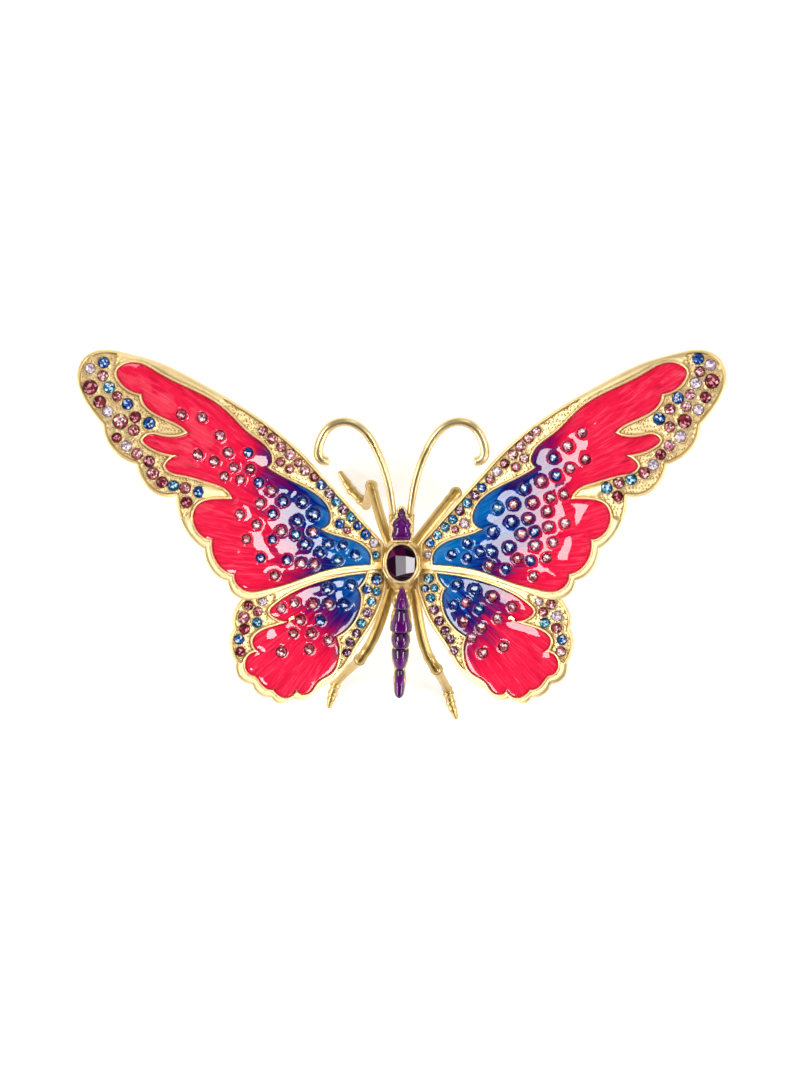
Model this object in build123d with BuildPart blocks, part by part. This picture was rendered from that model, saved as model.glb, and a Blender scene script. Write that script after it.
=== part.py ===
from build123d import *
from math import cos, pi, sin, sqrt
import os

# A standing butterfly figurine in cast metal with enamel inlays and small crystals, in millimetres.
# Z is up and the feet stand at zero. The head points along +Y and the right wings along +X.
# Plan positions below are measured from the middle of the thorax stone.

# The middle of the whole outline stands over the origin, which puts the thorax stone behind it
THORAX_Y = -8.1
PLAN = Plane(origin=(0, THORAX_Y, 0))

# Both wings of a side are curved about one centre, rising from the body to the tips
WING_RADIUS = 300.0
WING_CENTRE = (153.1, 8.0, -224.3)

# Levels of a wing's layers, as distances outside its middle sphere
RIM_TOP = 1.0
ENAMEL_TOP = 0.8
STONE_GIRDLE = 0.75
PAVE_FLOOR = 0.3
ENAMEL_FLOOR = -0.1
SEAT_FLOOR = -0.75
PLATE_BOTTOM = -1.2
HINDWING_DROP = 2.6

# Widths seen in plan
RIM_WIDTH = 1.3
WIRE_WIDTH = 0.75

# Keeps the mitre short where two runs of an outline meet at a sharp cusp
MITRE_EASE = 0.25

# Wing outlines in plan, as runs of a smooth curve that meet at the notches and cusps
FOREWING_EDGE = [
    [(5.4, 6.0), (26.9, 30.0)],
    [
        (26.9, 30.0), (35.3, 38.4), (45.0, 45.8), (65.0, 57.5), (75.0, 62.3), (85.0, 65.2),
        (92.5, 66.3), (97.8, 64.5), (100.8, 57.5), (97.5, 48.8), (92.8, 42.7),
    ],
    [(92.8, 42.7), (91.8, 38.3), (88.0, 33.4), (82.5, 30.6)],
    [(82.5, 30.6), (81.2, 26.6), (77.7, 22.3), (70.1, 20.7)],
    [(70.1, 20.7), (69.4, 15.2), (66.8, 9.4), (61.6, 4.5)],
    [(61.6, 4.5), (60.5, -0.1), (57.3, -4.1), (54.3, -5.5)],
    [
        (54.3, -5.5), (53.0, -9.0), (49.2, -11.3), (45.2, -11.2), (38.9, -9.1), (32.8, -6.9),
        (23.5, -4.3), (11.2, -2.6), (5.4, -1.8),
    ],
    [(5.4, -1.8), (5.4, 6.0)],
]
FOREWING_CELL = [
    [(10.0, -0.5), (9.9, 2.3), (13.7, 6.3), (19.5, 8.2), (25.4, 10.6)],
    [(25.4, 10.6), (22.3, 13.4), (22.9, 16.8), (30.3, 23.5), (38.9, 27.8), (42.0, 29.8)],
    [
        (42.0, 29.8), (40.4, 32.0), (41.3, 34.9), (47.4, 40.2), (55.0, 47.6), (65.0, 53.7),
        (75.0, 58.6), (85.1, 62.0), (88.4, 59.5), (87.6, 56.7), (84.3, 53.6), (80.7, 52.5),
    ],
    [(80.7, 52.5), (79.4, 48.8), (75.1, 45.7), (66.4, 40.5)],
    [
        (66.4, 40.5), (69.9, 39.2), (75.0, 39.5), (78.2, 39.9), (80.2, 38.3), (78.4, 36.2),
        (73.8, 34.2), (69.6, 33.4),
    ],
    [
        (69.6, 33.4), (72.5, 31.7), (73.3, 30.3), (72.5, 28.8), (68.8, 27.5), (60.0, 25.2),
        (54.6, 22.9), (52.6, 19.9),
    ],
    [(52.6, 19.9), (59.0, 19.7), (63.3, 18.1), (64.7, 14.9), (62.5, 8.9), (58.8, 7.4)],
    [(58.8, 7.4), (58.6, 3.1), (56.5, -0.9), (52.0, -3.4)],
    [
        (52.0, -3.4), (51.3, -6.4), (48.4, -8.6), (42.6, -8.3), (35.4, -6.4), (24.8, -2.6),
        (15.2, -0.8), (10.0, -0.5),
    ],
]
HINDWING_EDGE = [
    [(4.3, -3.0), (11.0, 0.2), (23.5, -1.3), (33.0, -3.9), (43.0, -7.2), (50.2, -11.5)],
    [(50.2, -11.5), (51.8, -14.0), (52.8, -16.9), (52.5, -20.4)],
    [(52.5, -20.4), (53.7, -24.1), (53.1, -28.4), (51.8, -31.0)],
    [(51.8, -31.0), (51.2, -35.2), (49.6, -36.9), (46.7, -37.9)],
    [(46.7, -37.9), (45.7, -40.0), (44.1, -41.4), (40.6, -42.1)],
    [(40.6, -42.1), (38.1, -44.0), (36.1, -43.5), (33.6, -42.4)],
    [
        (33.6, -42.4), (29.1, -42.1), (25.9, -39.3), (22.6, -37.7), (18.8, -34.4), (13.6, -26.2),
        (9.2, -19.5), (6.2, -13.2), (4.3, -6.9),
    ],
    [(4.3, -6.9), (4.3, -3.0)],
]
HINDWING_CELL = [
    [
        (11.1, -3.3), (19.1, -4.4), (27.8, -6.7), (34.2, -9.4), (39.7, -13.1), (41.1, -15.0),
        (39.7, -16.9), (33.9, -17.1),
    ],
    [(33.9, -17.1), (36.8, -18.8), (43.2, -20.9), (46.4, -24.0), (46.1, -25.9), (44.3, -27.8)],
    [(44.3, -27.8), (48.7, -30.8), (48.4, -33.3), (45.6, -35.2)],
    [(45.6, -35.2), (44.1, -37.1), (42.5, -38.9), (40.0, -39.5)],
    [(40.0, -39.5), (38.4, -41.3), (36.1, -42.1), (33.6, -40.9), (32.8, -39.7)],
    [
        (32.8, -39.7), (31.0, -41.1), (28.8, -40.6), (26.2, -37.3), (22.0, -34.5), (19.6, -28.8),
        (20.5, -23.1),
    ],
    [(20.5, -23.1), (15.9, -19.5), (13.1, -14.0), (13.2, -9.2), (14.0, -7.9)],
    [(14.0, -7.9), (12.4, -6.3), (11.1, -3.3)],
]

# Rough plan areas that hold the sunk crystal borders, cut to shape by the rim and the enamel cell
FOREWING_BORDERS = [
    [(89.5, 70), (110, 70), (110, 14), (62, 14), (62, 40), (87, 58)],
    [(55.5, 60), (55.5, 42), (25, 8), (12, 0.8), (0, 0.8), (0, 12), (22, 42)],
]
HINDWING_BORDERS = [
    [(40, -9.5), (60, -9.5), (60, -31), (44, -31), (38, -18)],
    [(3, -3.4), (12, -3.4), (16, -14), (22, -24), (22, -33), (13, -33), (3, -14)],
]

# Crystals by wing and colour, each as plan x, plan y and radius
LEFT_FOREWING_STONES = {
    "sapphire": [
        (-92.4, 62.2, 1.8), (-85.0, 49.4, 1.8), (-78.3, 43.4, 1.9), (-62.9, 22.1, 1.8),
        (-25.0, 24.4, 1.6), (-19.3, 12.2, 1.6), (-13.8, 11.6, 1.5), (-11.2, 9.0, 1.7),
        (-47.7, 34.4, 1.5), (-44.5, 25.1, 1.6), (-37.0, 19.3, 1.6), (-30.9, 19.2, 1.6),
        (-27.3, 15.3, 1.9), (-40.2, 15.4, 1.5), (-32.5, 13.1, 1.5), (-40.3, 7.4, 1.4),
        (-30.1, 6.0, 1.5), (-22.7, 6.0, 1.5), (-18.4, 5.7, 1.5), (-25.5, 3.2, 1.5),
        (-14.6, 2.7, 1.5), (-43.9, 1.6, 1.5), (-35.8, 1.0, 1.5),
    ],
    "aqua": [
        (-90.7, 54.5, 1.8), (-70.8, 24.0, 1.7), (-20.4, 19.2, 1.6), (-15.8, 14.3, 1.5),
        (-8.0, 2.4, 1.3), (-33.0, 8.9, 1.5), (-19.8, 1.0, 1.4),
    ],
    "opal": [(-96.6, 60.4, 1.6), (-91.1, 47.0, 1.7), (-85.2, 36.4, 1.7), (-8.6, 6.3, 1.5)],
    "rose": [
        (-92.7, 58.1, 1.7), (-88.2, 51.7, 1.6), (-87.2, 43.9, 2.4), (-83.0, 41.2, 1.8),
        (-82.0, 33.9, 1.8), (-77.1, 27.8, 1.9), (-67.2, 23.3, 1.8), (-43.2, 41.1, 1.5),
        (-40.3, 38.8, 1.7), (-37.5, 36.2, 1.6), (-37.7, 31.5, 1.5), (-34.9, 29.3, 1.4),
        (-32.3, 31.3, 1.4), (-17.0, 10.2, 1.2), (-68.4, 46.2, 1.6), (-63.3, 33.7, 1.6),
        (-58.2, 31.7, 1.6), (-47.1, 29.3, 1.5), (-55.1, 27.0, 1.5), (-48.3, 7.4, 1.5),
        (-39.5, -3.9, 1.5),
    ],
    "light_rose": [
        (-34.8, 33.8, 1.7), (-30.1, 28.8, 1.6), (-62.0, 45.3, 1.6), (-56.5, 39.7, 1.6),
        (-54.0, 34.5, 1.6), (-52.2, 29.8, 1.5), (-50.2, 26.0, 1.5), (-40.5, 22.5, 1.5),
        (-44.1, 18.7, 1.5), (-50.3, 15.2, 1.5), (-45.2, 12.0, 1.5), (-37.5, 9.9, 1.5),
        (-27.7, 9.8, 1.5), (-31.3, 0.0, 1.5), (-27.3, -0.4, 1.5),
    ],
    "garnet": [
        (-96.5, 54.5, 2.3), (-93.6, 50.0, 2.0), (-82.6, 45.3, 1.8), (-88.3, 38.9, 1.6),
        (-78.3, 31.6, 1.8), (-74.3, 25.1, 1.8), (-66.7, 18.9, 1.8), (-27.3, 26.8, 1.5),
    ],
    "amethyst": [(-22.5, 21.8, 1.6), (-18.1, 16.8, 1.6)],
}
RIGHT_FOREWING_STONES = {
    "sapphire": [
        (92.0, 63.4, 1.8), (85.7, 51.2, 1.8), (79.9, 44.8, 1.9), (25.0, 23.5, 1.5),
        (8.8, 6.2, 1.5), (47.3, 32.7, 1.5), (48.1, 27.0, 1.6), (38.2, 23.1, 1.6),
        (34.4, 12.7, 1.6), (41.4, 9.6, 1.6), (28.4, 9.8, 1.7), (33.6, 4.9, 1.6),
        (40.2, 0.6, 1.5), (32.6, -1.9, 1.5), (24.4, 3.4, 1.5), (28.0, 3.5, 1.5),
        (20.5, 6.1, 1.5), (20.6, 1.6, 1.5), (15.7, 2.6, 1.5),
    ],
    "aqua": [
        (71.2, 26.1, 1.8), (63.7, 23.3, 1.8), (20.5, 18.7, 1.6), (16.0, 13.6, 1.5),
        (13.6, 11.2, 1.5), (11.2, 8.7, 1.5), (29.9, 17.1, 1.6),
    ],
    "opal": [
        (95.8, 61.5, 1.8), (91.2, 55.8, 1.8), (92.0, 47.6, 1.7), (86.4, 39.3, 1.8),
        (78.0, 30.5, 1.7), (29.8, 28.6, 1.5), (19.6, 12.3, 1.5), (8.3, 2.5, 1.2),
    ],
    "rose": [
        (92.5, 59.4, 1.7), (88.2, 48.6, 1.7), (83.2, 47.8, 1.7), (83.1, 42.3, 1.7),
        (75.2, 28.0, 1.8), (67.4, 24.9, 1.8), (39.5, 38.9, 1.6), (34.7, 33.8, 1.6),
        (38.2, 32.6, 1.5), (35.6, 29.9, 1.5), (27.5, 26.1, 1.5), (16.8, 10.4, 1.2),
        (57.2, 32.2, 1.6), (50.5, 21.3, 1.5), (46.3, 20.3, 1.5), (40.7, 18.8, 1.6),
        (34.9, 18.3, 1.6), (45.4, 16.0, 1.5), (39.4, 13.8, 1.5), (45.2, 1.6, 1.5),
        (36.1, 1.3, 1.5), (41.1, -4.2, 1.5), (27.4, -0.8, 1.5),
    ],
    "light_rose": [
        (89.4, 52.3, 1.6), (83.0, 36.4, 1.7), (41.9, 41.1, 1.5), (37.0, 36.3, 1.6),
        (56.1, 40.5, 1.6), (51.7, 36.3, 1.6), (52.4, 29.3, 1.5), (43.5, 25.4, 1.6),
        (50.9, 12.3, 1.6), (45.7, 11.2, 1.5), (37.4, 9.0, 1.6), (47.2, 6.4, 1.5),
        (41.6, 5.3, 1.6),
    ],
    "garnet": [
        (96.2, 56.4, 2.3), (94.2, 51.4, 1.8), (87.7, 44.0, 2.2), (80.3, 33.7, 1.7),
        (67.0, 20.8, 1.7), (32.2, 31.0, 1.5),
    ],
    "amethyst": [(22.8, 21.2, 1.5), (18.2, 16.2, 1.5)],
}
LEFT_HINDWING_STONES = {
    "sapphire": [
        (-7.7, -5.2, 1.8), (-10.8, -8.2, 1.5), (-50.6, -23.8, 1.6), (-23.1, -7.9, 1.6),
        (-15.9, -6.7, 1.6), (-17.9, -12.9, 1.6), (-25.4, -18.0, 1.6),
    ],
    "aqua": [(-7.8, -9.0, 1.4), (-9.4, -12.1, 1.5), (-12.6, -19.0, 1.5), (-45.0, -18.6, 1.6)],
    "opal": [(-43.3, -12.0, 1.4)],
    "rose": [
        (-44.8, -15.1, 1.5), (-49.1, -17.0, 1.8), (-27.7, -12.9, 1.6), (-31.6, -17.8, 1.6),
        (-33.8, -22.0, 1.5), (-28.2, -22.0, 1.6), (-28.9, -27.0, 1.6), (-37.5, -27.8, 1.7),
    ],
    "light_rose": [
        (-37.5, -14.1, 1.5), (-33.5, -12.4, 1.5), (-22.8, -12.8, 1.5), (-22.8, -24.2, 1.5),
    ],
    "garnet": [(-47.6, -13.2, 1.5), (-48.9, -20.6, 1.7), (-50.2, -27.6, 1.6)],
    "amethyst": [
        (-10.7, -15.7, 1.5), (-14.1, -22.0, 1.4), (-16.1, -24.9, 1.4), (-17.0, -28.1, 1.4),
    ],
}
RIGHT_HINDWING_STONES = {
    "sapphire": [
        (7.4, -8.0, 1.2), (49.9, -23.9, 1.6), (17.3, -7.0, 1.6), (23.0, -8.6, 1.6),
        (16.6, -13.1, 1.5), (24.3, -14.8, 1.6),
    ],
    "aqua": [(8.5, -4.9, 1.6), (10.2, -7.9, 1.3), (9.1, -11.0, 1.5), (44.6, -18.6, 1.6)],
    "opal": [(48.3, -16.5, 1.6), (42.9, -12.1, 1.3)],
    "rose": [
        (46.5, -12.9, 1.6), (44.1, -15.2, 1.5), (48.2, -20.3, 1.7), (49.6, -27.6, 1.6),
        (28.4, -10.7, 1.6), (19.5, -18.4, 1.6), (25.0, -20.3, 1.6), (25.4, -28.2, 1.6),
        (31.8, -26.2, 1.6),
    ],
    "light_rose": [(34.6, -13.8, 1.5), (20.0, -12.5, 1.5), (30.0, -17.5, 1.5), (22.0, -23.4, 1.5)],
    "amethyst": [
        (10.2, -14.7, 1.5), (11.8, -18.2, 1.5), (13.6, -21.2, 1.4), (15.2, -24.0, 1.4),
        (16.3, -27.5, 1.4),
    ],
}

# Proportions of a round crystal, as parts of its radius
TABLE_SIZE = 0.55
CROWN_HEIGHT = 0.33
PAVILION_DEPTH = 0.6
CULET_SIZE = 0.12
STONE_SIDES = 8
SEAT_CLEARANCE = 0.02

# Thorax, a smooth egg that carries the wings, the legs and the oval stone
THORAX_HALF_WIDTH = 6.2
THORAX_HALF_LENGTH = 9.0
THORAX_Z = 34.0
BEZEL_SIZE = (5.5, 6.4)
BEZEL_BASE_Z = 38.2
BEZEL_TOP_Z = 41.4
STONE_SIZE = (4.75, 5.7)
OVAL_BASE_Z = 39.0
OVAL_GIRDLE_Z = 40.9
OVAL_TABLE_Z = 42.9
OVAL_SIDES = 16
OVAL_TABLE_SIZE = 0.55
OVAL_BACK_SIZE = 0.5

# Abdomen, five barrels along a line that sinks towards the tail
ABDOMEN_START = (0.2, -7.0, 34.0)
ABDOMEN_END = (-0.8, -42.5, 27.5)
# Each barrel as start, end and widest place along the line, then radius at start, widest and end
ABDOMEN_BARRELS = [
    (0.0, 7.0, 6.0, 1.6, 3.0, 2.4),
    (7.0, 14.1, 11.0, 2.4, 3.3, 2.6),
    (14.1, 20.2, 17.0, 2.5, 3.1, 2.3),
    (20.2, 26.6, 22.8, 2.2, 2.7, 1.7),
    (26.6, 35.4, 30.5, 1.6, 2.1, 0.8),
]
ENAMEL_DEPTH = 0.6
ENAMEL_PROUD = 0.1
ENAMEL_EDGE = 0.55
ENAMEL_GAP = 0.5
ENAMEL_ROUNDING = 0.8
PAD_REACH = 10.0

# Head, a drop in plan with the enamel let into its top
HEAD_OUTLINE = [
    [(0.0, 17.3), (1.0, 15.2), (1.2, 14.0), (2.9, 12.0)],
    [(2.9, 12.0), (2.4, 10.0), (1.9, 7.2)],
    [(1.9, 7.2), (-1.9, 7.2)],
    [(-1.9, 7.2), (-2.4, 10.0), (-2.9, 12.0)],
    [(-2.9, 12.0), (-1.2, 14.0), (-1.0, 15.2), (0.0, 17.3)],
]
HEAD_MARGIN = 0.8
HEAD_BASE_Z = 34.4
HEAD_TOP_Z = 39.8
HEAD_ENAMEL_BASE_Z = 39.2
HEAD_ENAMEL_TOP_Z = 40.4

# Antennae and legs, as plan x, plan y and height of points along each, then radii along it
CHEEK_START = (2.2, 7.6, 36.6)
CHEEK_END = (2.75, 15.6, 39.1)
CHEEK_RADII = (1.6, 1.5)
ANTENNA_PATH = [
    (2.6, 14.0, 38.0), (3.5, 21.2, 42.2), (4.9, 27.5, 45.0), (8.1, 35.8, 48.0), (12.6, 42.0, 49.6),
    (16.9, 44.0, 50.0), (21.4, 43.2, 49.8), (25.2, 38.5, 49.0), (25.6, 33.1, 48.0), (22.4, 31.7, 47.4),
]
ANTENNA_RADII = [1.1, 1.15, 1.2, 1.25, 1.3, 1.35, 1.4, 1.45, 1.55, 1.7]

FEMUR_RADII = [1.3, 1.45, 1.5, 1.4]
LEGS = {
    "left_front_leg": {
        "femur": [(-3.0, 4.5, 31.6), (-5.6, 11.0, 30.4), (-7.6, 17.5, 28.6), (-9.5, 24.2, 26.0)],
        "foot": [(-11.2, 18.2, 3.0), (-15.8, 22.9, 1.3), (-19.3, 28.3, 0.9)],
    },
    "right_front_leg": {
        "femur": [(3.0, 4.5, 31.6), (7.6, 10.4, 30.4), (12.4, 16.4, 28.6), (17.0, 22.0, 26.0)],
        "foot": [(20.5, 16.4, 3.0), (24.8, 20.4, 1.3), (28.4, 25.2, 0.9)],
    },
    "left_rear_leg": {
        "femur": [(-2.4, -4.5, 30.2), (-5.2, -14.0, 28.0), (-8.3, -22.5, 25.6), (-13.2, -30.5, 22.0)],
        "foot": [(-20.5, -37.5, 3.2), (-21.9, -41.5, 1.3), (-23.0, -45.5, 0.9)],
    },
    "right_rear_leg": {
        "femur": [(2.4, -4.5, 30.2), (4.8, -14.5, 28.0), (6.6, -24.0, 25.4), (11.0, -33.5, 22.0)],
        "foot": [(14.5, -40.0, 3.2), (15.6, -44.5, 1.3), (17.2, -49.0, 0.9)],
    },
}
KNEE_RADIUS = 1.85
TIBIA_RADII = (1.4, 1.3)
ANKLE_RADIUS = 1.55
FOOT_RADII = (1.35, 1.15)
KNUCKLE_RADIUS = 1.6
TOE_RADIUS = 1.2

# Shoulders of the thorax under the wing roots, and the screws that hold the wings to them
SHOULDER_THICKNESS = 2.0
FOREWING_SHOULDER = [(3.0, 1.4), (12.4, 1.4), (12.4, 7.6), (8.0, 7.0), (3.0, 3.6)]
HINDWING_SHOULDER = [(3.0, -8.4), (8.6, -8.4), (10.6, -4.6), (10.6, -1.2), (3.0, -2.2)]
FOREWING_SCREW = (9.6, 4.2)
HINDWING_SCREW = (7.6, -4.4)
SCREW_RADIUS = 0.8
SCREW_HEAD_RADIUS = 1.5
SCREW_HEAD_HEIGHT = 1.0
SCREW_REACH = 1.0

# A tall block that spans every height of the wings, from which their curved layers are cut
PRISM_BASE = 20.0
PRISM_HEIGHT = 80.0
CUT_MARGIN = 1.0


def plan_outline(runs):
    """A closed plan outline from runs of points: two points make a line, more make a smooth curve."""
    with BuildSketch() as outline:
        with BuildLine():
            for run in runs:
                if len(run) == 2:
                    Line(*run)
                else:
                    Spline(*run)
        make_face()
    return outline.sketch


def grown_runs(runs, distance):
    """The runs of a clockwise outline moved outwards by a distance, or inwards by a negative one."""
    curves = []
    for run in runs:
        curves.append(Edge.make_line(*run) if len(run) == 2 else Edge.make_spline(run))

    def outward(curve, place):
        along = curve.tangent_at(place)
        return Vector(-along.Y, along.X)

    corners = []
    for before, after in zip(curves, curves[1:] + curves[:1]):
        first = outward(before, 1)
        second = outward(after, 0)
        mitre = (first + second) * (1 / (1 + first.dot(second) + MITRE_EASE))
        corners.append(before @ 1 + mitre * distance)
    moved = []
    for index, (run, curve) in enumerate(zip(runs, curves)):
        middle = [
            Vector(*point) + outward(curve, curve.param_at_point(Vector(*point))) * distance for point in run[1:-1]
        ]
        moved.append([corners[index - 1]] + middle + [corners[index]])
    return moved


def wing_layer(outline, bottom, top):
    """A curved layer of the right wing over a plan outline, between two levels of the wing."""
    centre_x, centre_y, centre_z = WING_CENTRE
    with BuildPart() as layer:
        with BuildSketch(PLAN.offset(PRISM_BASE)):
            add(outline)
        extrude(amount=PRISM_HEIGHT)
        with Locations((centre_x, centre_y + THORAX_Y, centre_z)):
            Sphere(WING_RADIUS + top, mode=Mode.INTERSECT)
            Sphere(WING_RADIUS + bottom, mode=Mode.SUBTRACT)
    return layer.part


def wing_plane(x, y, level):
    """Plane square to a wing at a plan position and level, with its Z out of the wing's top."""
    centre_x, centre_y, centre_z = WING_CENTRE
    side = 1 if x > 0 else -1
    out_x = x - side * centre_x
    out_y = y - centre_y
    out_z = sqrt((WING_RADIUS + level) ** 2 - out_x**2 - out_y**2)
    return Plane(
        origin=(x, y + THORAX_Y, centre_z + out_z), x_dir=(out_z, 0, -out_x), z_dir=(out_x, out_y, out_z)
    )


def border_zone(edge_runs, cell_runs, areas):
    """The sunk crystal borders between the rim and the enamel's wire."""
    with BuildSketch() as zone:
        add(plan_outline(grown_runs(edge_runs, -RIM_WIDTH)))
        add(plan_outline(grown_runs(cell_runs, WIRE_WIDTH)), mode=Mode.SUBTRACT)
        with BuildSketch(mode=Mode.INTERSECT):
            for area in areas:
                with BuildLine():
                    Polyline(*area, close=True)
                make_face()
    return zone.sketch


def wing_blank(edge, cell, zone, drop):
    """Right wing frame before its stone seats: a curved plate with sunk borders and enamel bed."""
    with BuildPart() as blank:
        add(wing_layer(edge, PLATE_BOTTOM - drop, RIM_TOP - drop))
        add(wing_layer(zone, PAVE_FLOOR - drop, RIM_TOP + CUT_MARGIN), mode=Mode.SUBTRACT)
        add(wing_layer(cell, ENAMEL_FLOOR - drop, RIM_TOP + CUT_MARGIN), mode=Mode.SUBTRACT)
    return blank.part


def round_stone():
    """A round crystal of radius 1 with an eight-sided crown, a table and a pointed back."""
    with BuildPart() as stone:
        with BuildSketch():
            RegularPolygon(1, STONE_SIDES)
        with BuildSketch(Plane.XY.offset(CROWN_HEIGHT)):
            RegularPolygon(TABLE_SIZE, STONE_SIDES)
        loft(ruled=True)
        with BuildSketch():
            RegularPolygon(1, STONE_SIDES)
        with BuildSketch(Plane.XY.offset(-PAVILION_DEPTH)):
            RegularPolygon(CULET_SIZE, STONE_SIDES)
        loft(ruled=True)
    return stone.part


def stone_group(stones, drop):
    """All crystals of one colour on one wing, as separate solids."""
    with BuildPart() as group:
        for x, y, radius in stones:
            with Locations(wing_plane(x, y, STONE_GIRDLE - drop).location):
                add(scale(UNIT_STONE, by=radius, mode=Mode.PRIVATE))
    return group.part


def seat_group(stones, drop):
    """Round seats of the crystals, as solids to cut away."""
    depth = STONE_GIRDLE - SEAT_FLOOR + CUT_MARGIN
    with BuildPart() as seats:
        for x, y, radius in stones:
            floor = wing_plane(x, y, STONE_GIRDLE - drop).offset(SEAT_FLOOR - STONE_GIRDLE)
            with Locations(floor.location):
                Cylinder(radius + SEAT_CLEARANCE, depth, align=(Align.CENTER, Align.CENTER, Align.MIN))
    return seats.part


def limb(points, radii):
    """A round limb that tapers along a smooth path."""
    with BuildPart() as tube:
        with BuildLine(PLAN) as path:
            Spline(*points)
        for index, radius in enumerate(radii):
            place = index / (len(radii) - 1)
            along = path.line % place
            across = Vector(0, 0, 1).cross(along)
            with BuildSketch(Plane(origin=path.line @ place, x_dir=across, z_dir=along)):
                Circle(radius)
        loft()
    return tube.part


def taper(start, end, start_radius, end_radius):
    """A straight round bar between two points that tapers."""
    with BuildPart() as bar:
        with BuildLine(PLAN) as path:
            Line(start, end)
        with BuildSketch(Plane(path.line ^ 0)):
            Circle(start_radius)
        with BuildSketch(Plane(path.line ^ 1)):
            Circle(end_radius)
        loft()
    return bar.part


def leg_part(femur, foot):
    """A leg: curved femur, knee, straight tibia, ankle and a knuckled foot that is flat underneath."""
    knee = femur[-1]
    ankle, knuckle, toe = foot
    with BuildPart() as leg:
        add(limb(femur, FEMUR_RADII))
        add(taper(knee, ankle, *TIBIA_RADII))
        add(taper(ankle, knuckle, *FOOT_RADII))
        add(taper(knuckle, toe, *FOOT_RADII))
        balls = [(knee, KNEE_RADIUS), (ankle, ANKLE_RADIUS), (knuckle, KNUCKLE_RADIUS), (toe, TOE_RADIUS)]
        for (x, y, z), radius in balls:
            with Locations((x, y + THORAX_Y, z)):
                Sphere(radius)
        split(bisect_by=Plane.XY, keep=Keep.TOP)
    return leg.part


def save(piece, name):
    """Label a finished piece and write it."""
    piece.label = name
    export_step(piece, f"parts/{name}.step")


def mirrored(piece):
    """The same piece on the other side of the body."""
    return mirror(piece, about=Plane.YZ, mode=Mode.PRIVATE)


os.makedirs("parts", exist_ok=True)
UNIT_STONE = round_stone()

# Wings
WINGS = [
    (
        "forewing", FOREWING_EDGE, FOREWING_CELL, FOREWING_BORDERS, 0.0, FOREWING_SCREW,
        {"left": LEFT_FOREWING_STONES, "right": RIGHT_FOREWING_STONES},
    ),
    (
        "hindwing", HINDWING_EDGE, HINDWING_CELL, HINDWING_BORDERS, HINDWING_DROP, HINDWING_SCREW,
        {"left": LEFT_HINDWING_STONES, "right": RIGHT_HINDWING_STONES},
    ),
]
screw_group = []
wing_plates = []
for wing, edge_runs, cell_runs, borders, drop, screw_place, stones_by_side in WINGS:
    edge = plan_outline(edge_runs)
    cell = plan_outline(cell_runs)
    screw_foot = PLATE_BOTTOM - drop - SHOULDER_THICKNESS
    with BuildPart() as screw:
        with Locations(wing_plane(*screw_place, screw_foot).location):
            Cylinder(SCREW_HEAD_RADIUS, SCREW_HEAD_HEIGHT, align=(Align.CENTER, Align.CENTER, Align.MAX))
            Cylinder(
                SCREW_RADIUS, SHOULDER_THICKNESS + SCREW_REACH, align=(Align.CENTER, Align.CENTER, Align.MIN)
            )
    screw_group += [screw.part, mirrored(screw.part)]
    plate = wing_layer(edge, PLATE_BOTTOM - drop, RIM_TOP - drop)
    wing_plates += [plate, mirrored(plate)]
    zone = border_zone(edge_runs, cell_runs, borders)
    right_frame = wing_blank(edge, cell, zone, drop) - screw.part
    right_enamel = wing_layer(cell, ENAMEL_FLOOR - drop, ENAMEL_TOP - drop)
    blanks = {"left": (mirrored(right_frame), mirrored(right_enamel)), "right": (right_frame, right_enamel)}
    for side, (frame_blank, enamel_blank) in blanks.items():
        stones = stones_by_side[side]
        all_stones = [stone for group in stones.values() for stone in group]
        seats = seat_group(all_stones, drop)
        with BuildPart() as wing_frame:
            add(frame_blank)
            add(seats, mode=Mode.SUBTRACT)
        save(wing_frame.part, f"{side}_{wing}_frame")
        with BuildPart() as wing_enamel:
            add(enamel_blank)
            add(seats, mode=Mode.SUBTRACT)
        save(wing_enamel.part, f"{side}_{wing}_enamel")
        for colour, group in stones.items():
            stone_set = stone_group(group, drop)
            save(stone_set, f"{side}_{wing}_{colour}_stones")

# Screws under the wing roots
with BuildPart() as wing_screws:
    for screw_part in screw_group:
        add(screw_part)
save(wing_screws.part, "wing_screws")

# Legs
leg_parts = {name: leg_part(leg["femur"], leg["foot"]) for name, leg in LEGS.items()}
for name, leg in leg_parts.items():
    save(leg, name)

# Antennae
right_antenna = limb(ANTENNA_PATH, ANTENNA_RADII)
left_antenna = mirrored(right_antenna)
save(right_antenna, "right_antenna")
save(left_antenna, "left_antenna")


def oval_points(size, scale_by):
    """Corners of a many-sided oval."""
    turns = [2 * pi * (index + 0.5) / OVAL_SIDES for index in range(OVAL_SIDES)]
    return [(size[0] * scale_by * cos(turn), size[1] * scale_by * sin(turn)) for turn in turns]


def oval_section(height, scale_by):
    """One level of the oval stone, as a sketch."""
    with BuildSketch(PLAN.offset(height)) as section:
        with BuildLine():
            Polyline(*oval_points(STONE_SIZE, scale_by), close=True)
        make_face()
    return section.sketch


# Oval stone in its bezel
with BuildPart() as thorax_stone:
    add(oval_section(OVAL_GIRDLE_Z, 1.0))
    add(oval_section(OVAL_TABLE_Z, OVAL_TABLE_SIZE))
    loft(ruled=True)
    add(oval_section(OVAL_BASE_Z, OVAL_BACK_SIZE))
    add(oval_section(OVAL_GIRDLE_Z, 1.0))
    loft(ruled=True)
save(thorax_stone.part, "thorax_stone")

with BuildPart() as thorax_bezel:
    with BuildSketch(PLAN.offset(BEZEL_BASE_Z)):
        Ellipse(*BEZEL_SIZE)
    extrude(amount=BEZEL_TOP_Z - BEZEL_BASE_Z)
    with BuildSketch(PLAN.offset(OVAL_BASE_Z)):
        Ellipse(*STONE_SIZE)
    extrude(amount=BEZEL_TOP_Z - OVAL_BASE_Z, mode=Mode.SUBTRACT)
save(thorax_bezel.part, "thorax_bezel")

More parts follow.
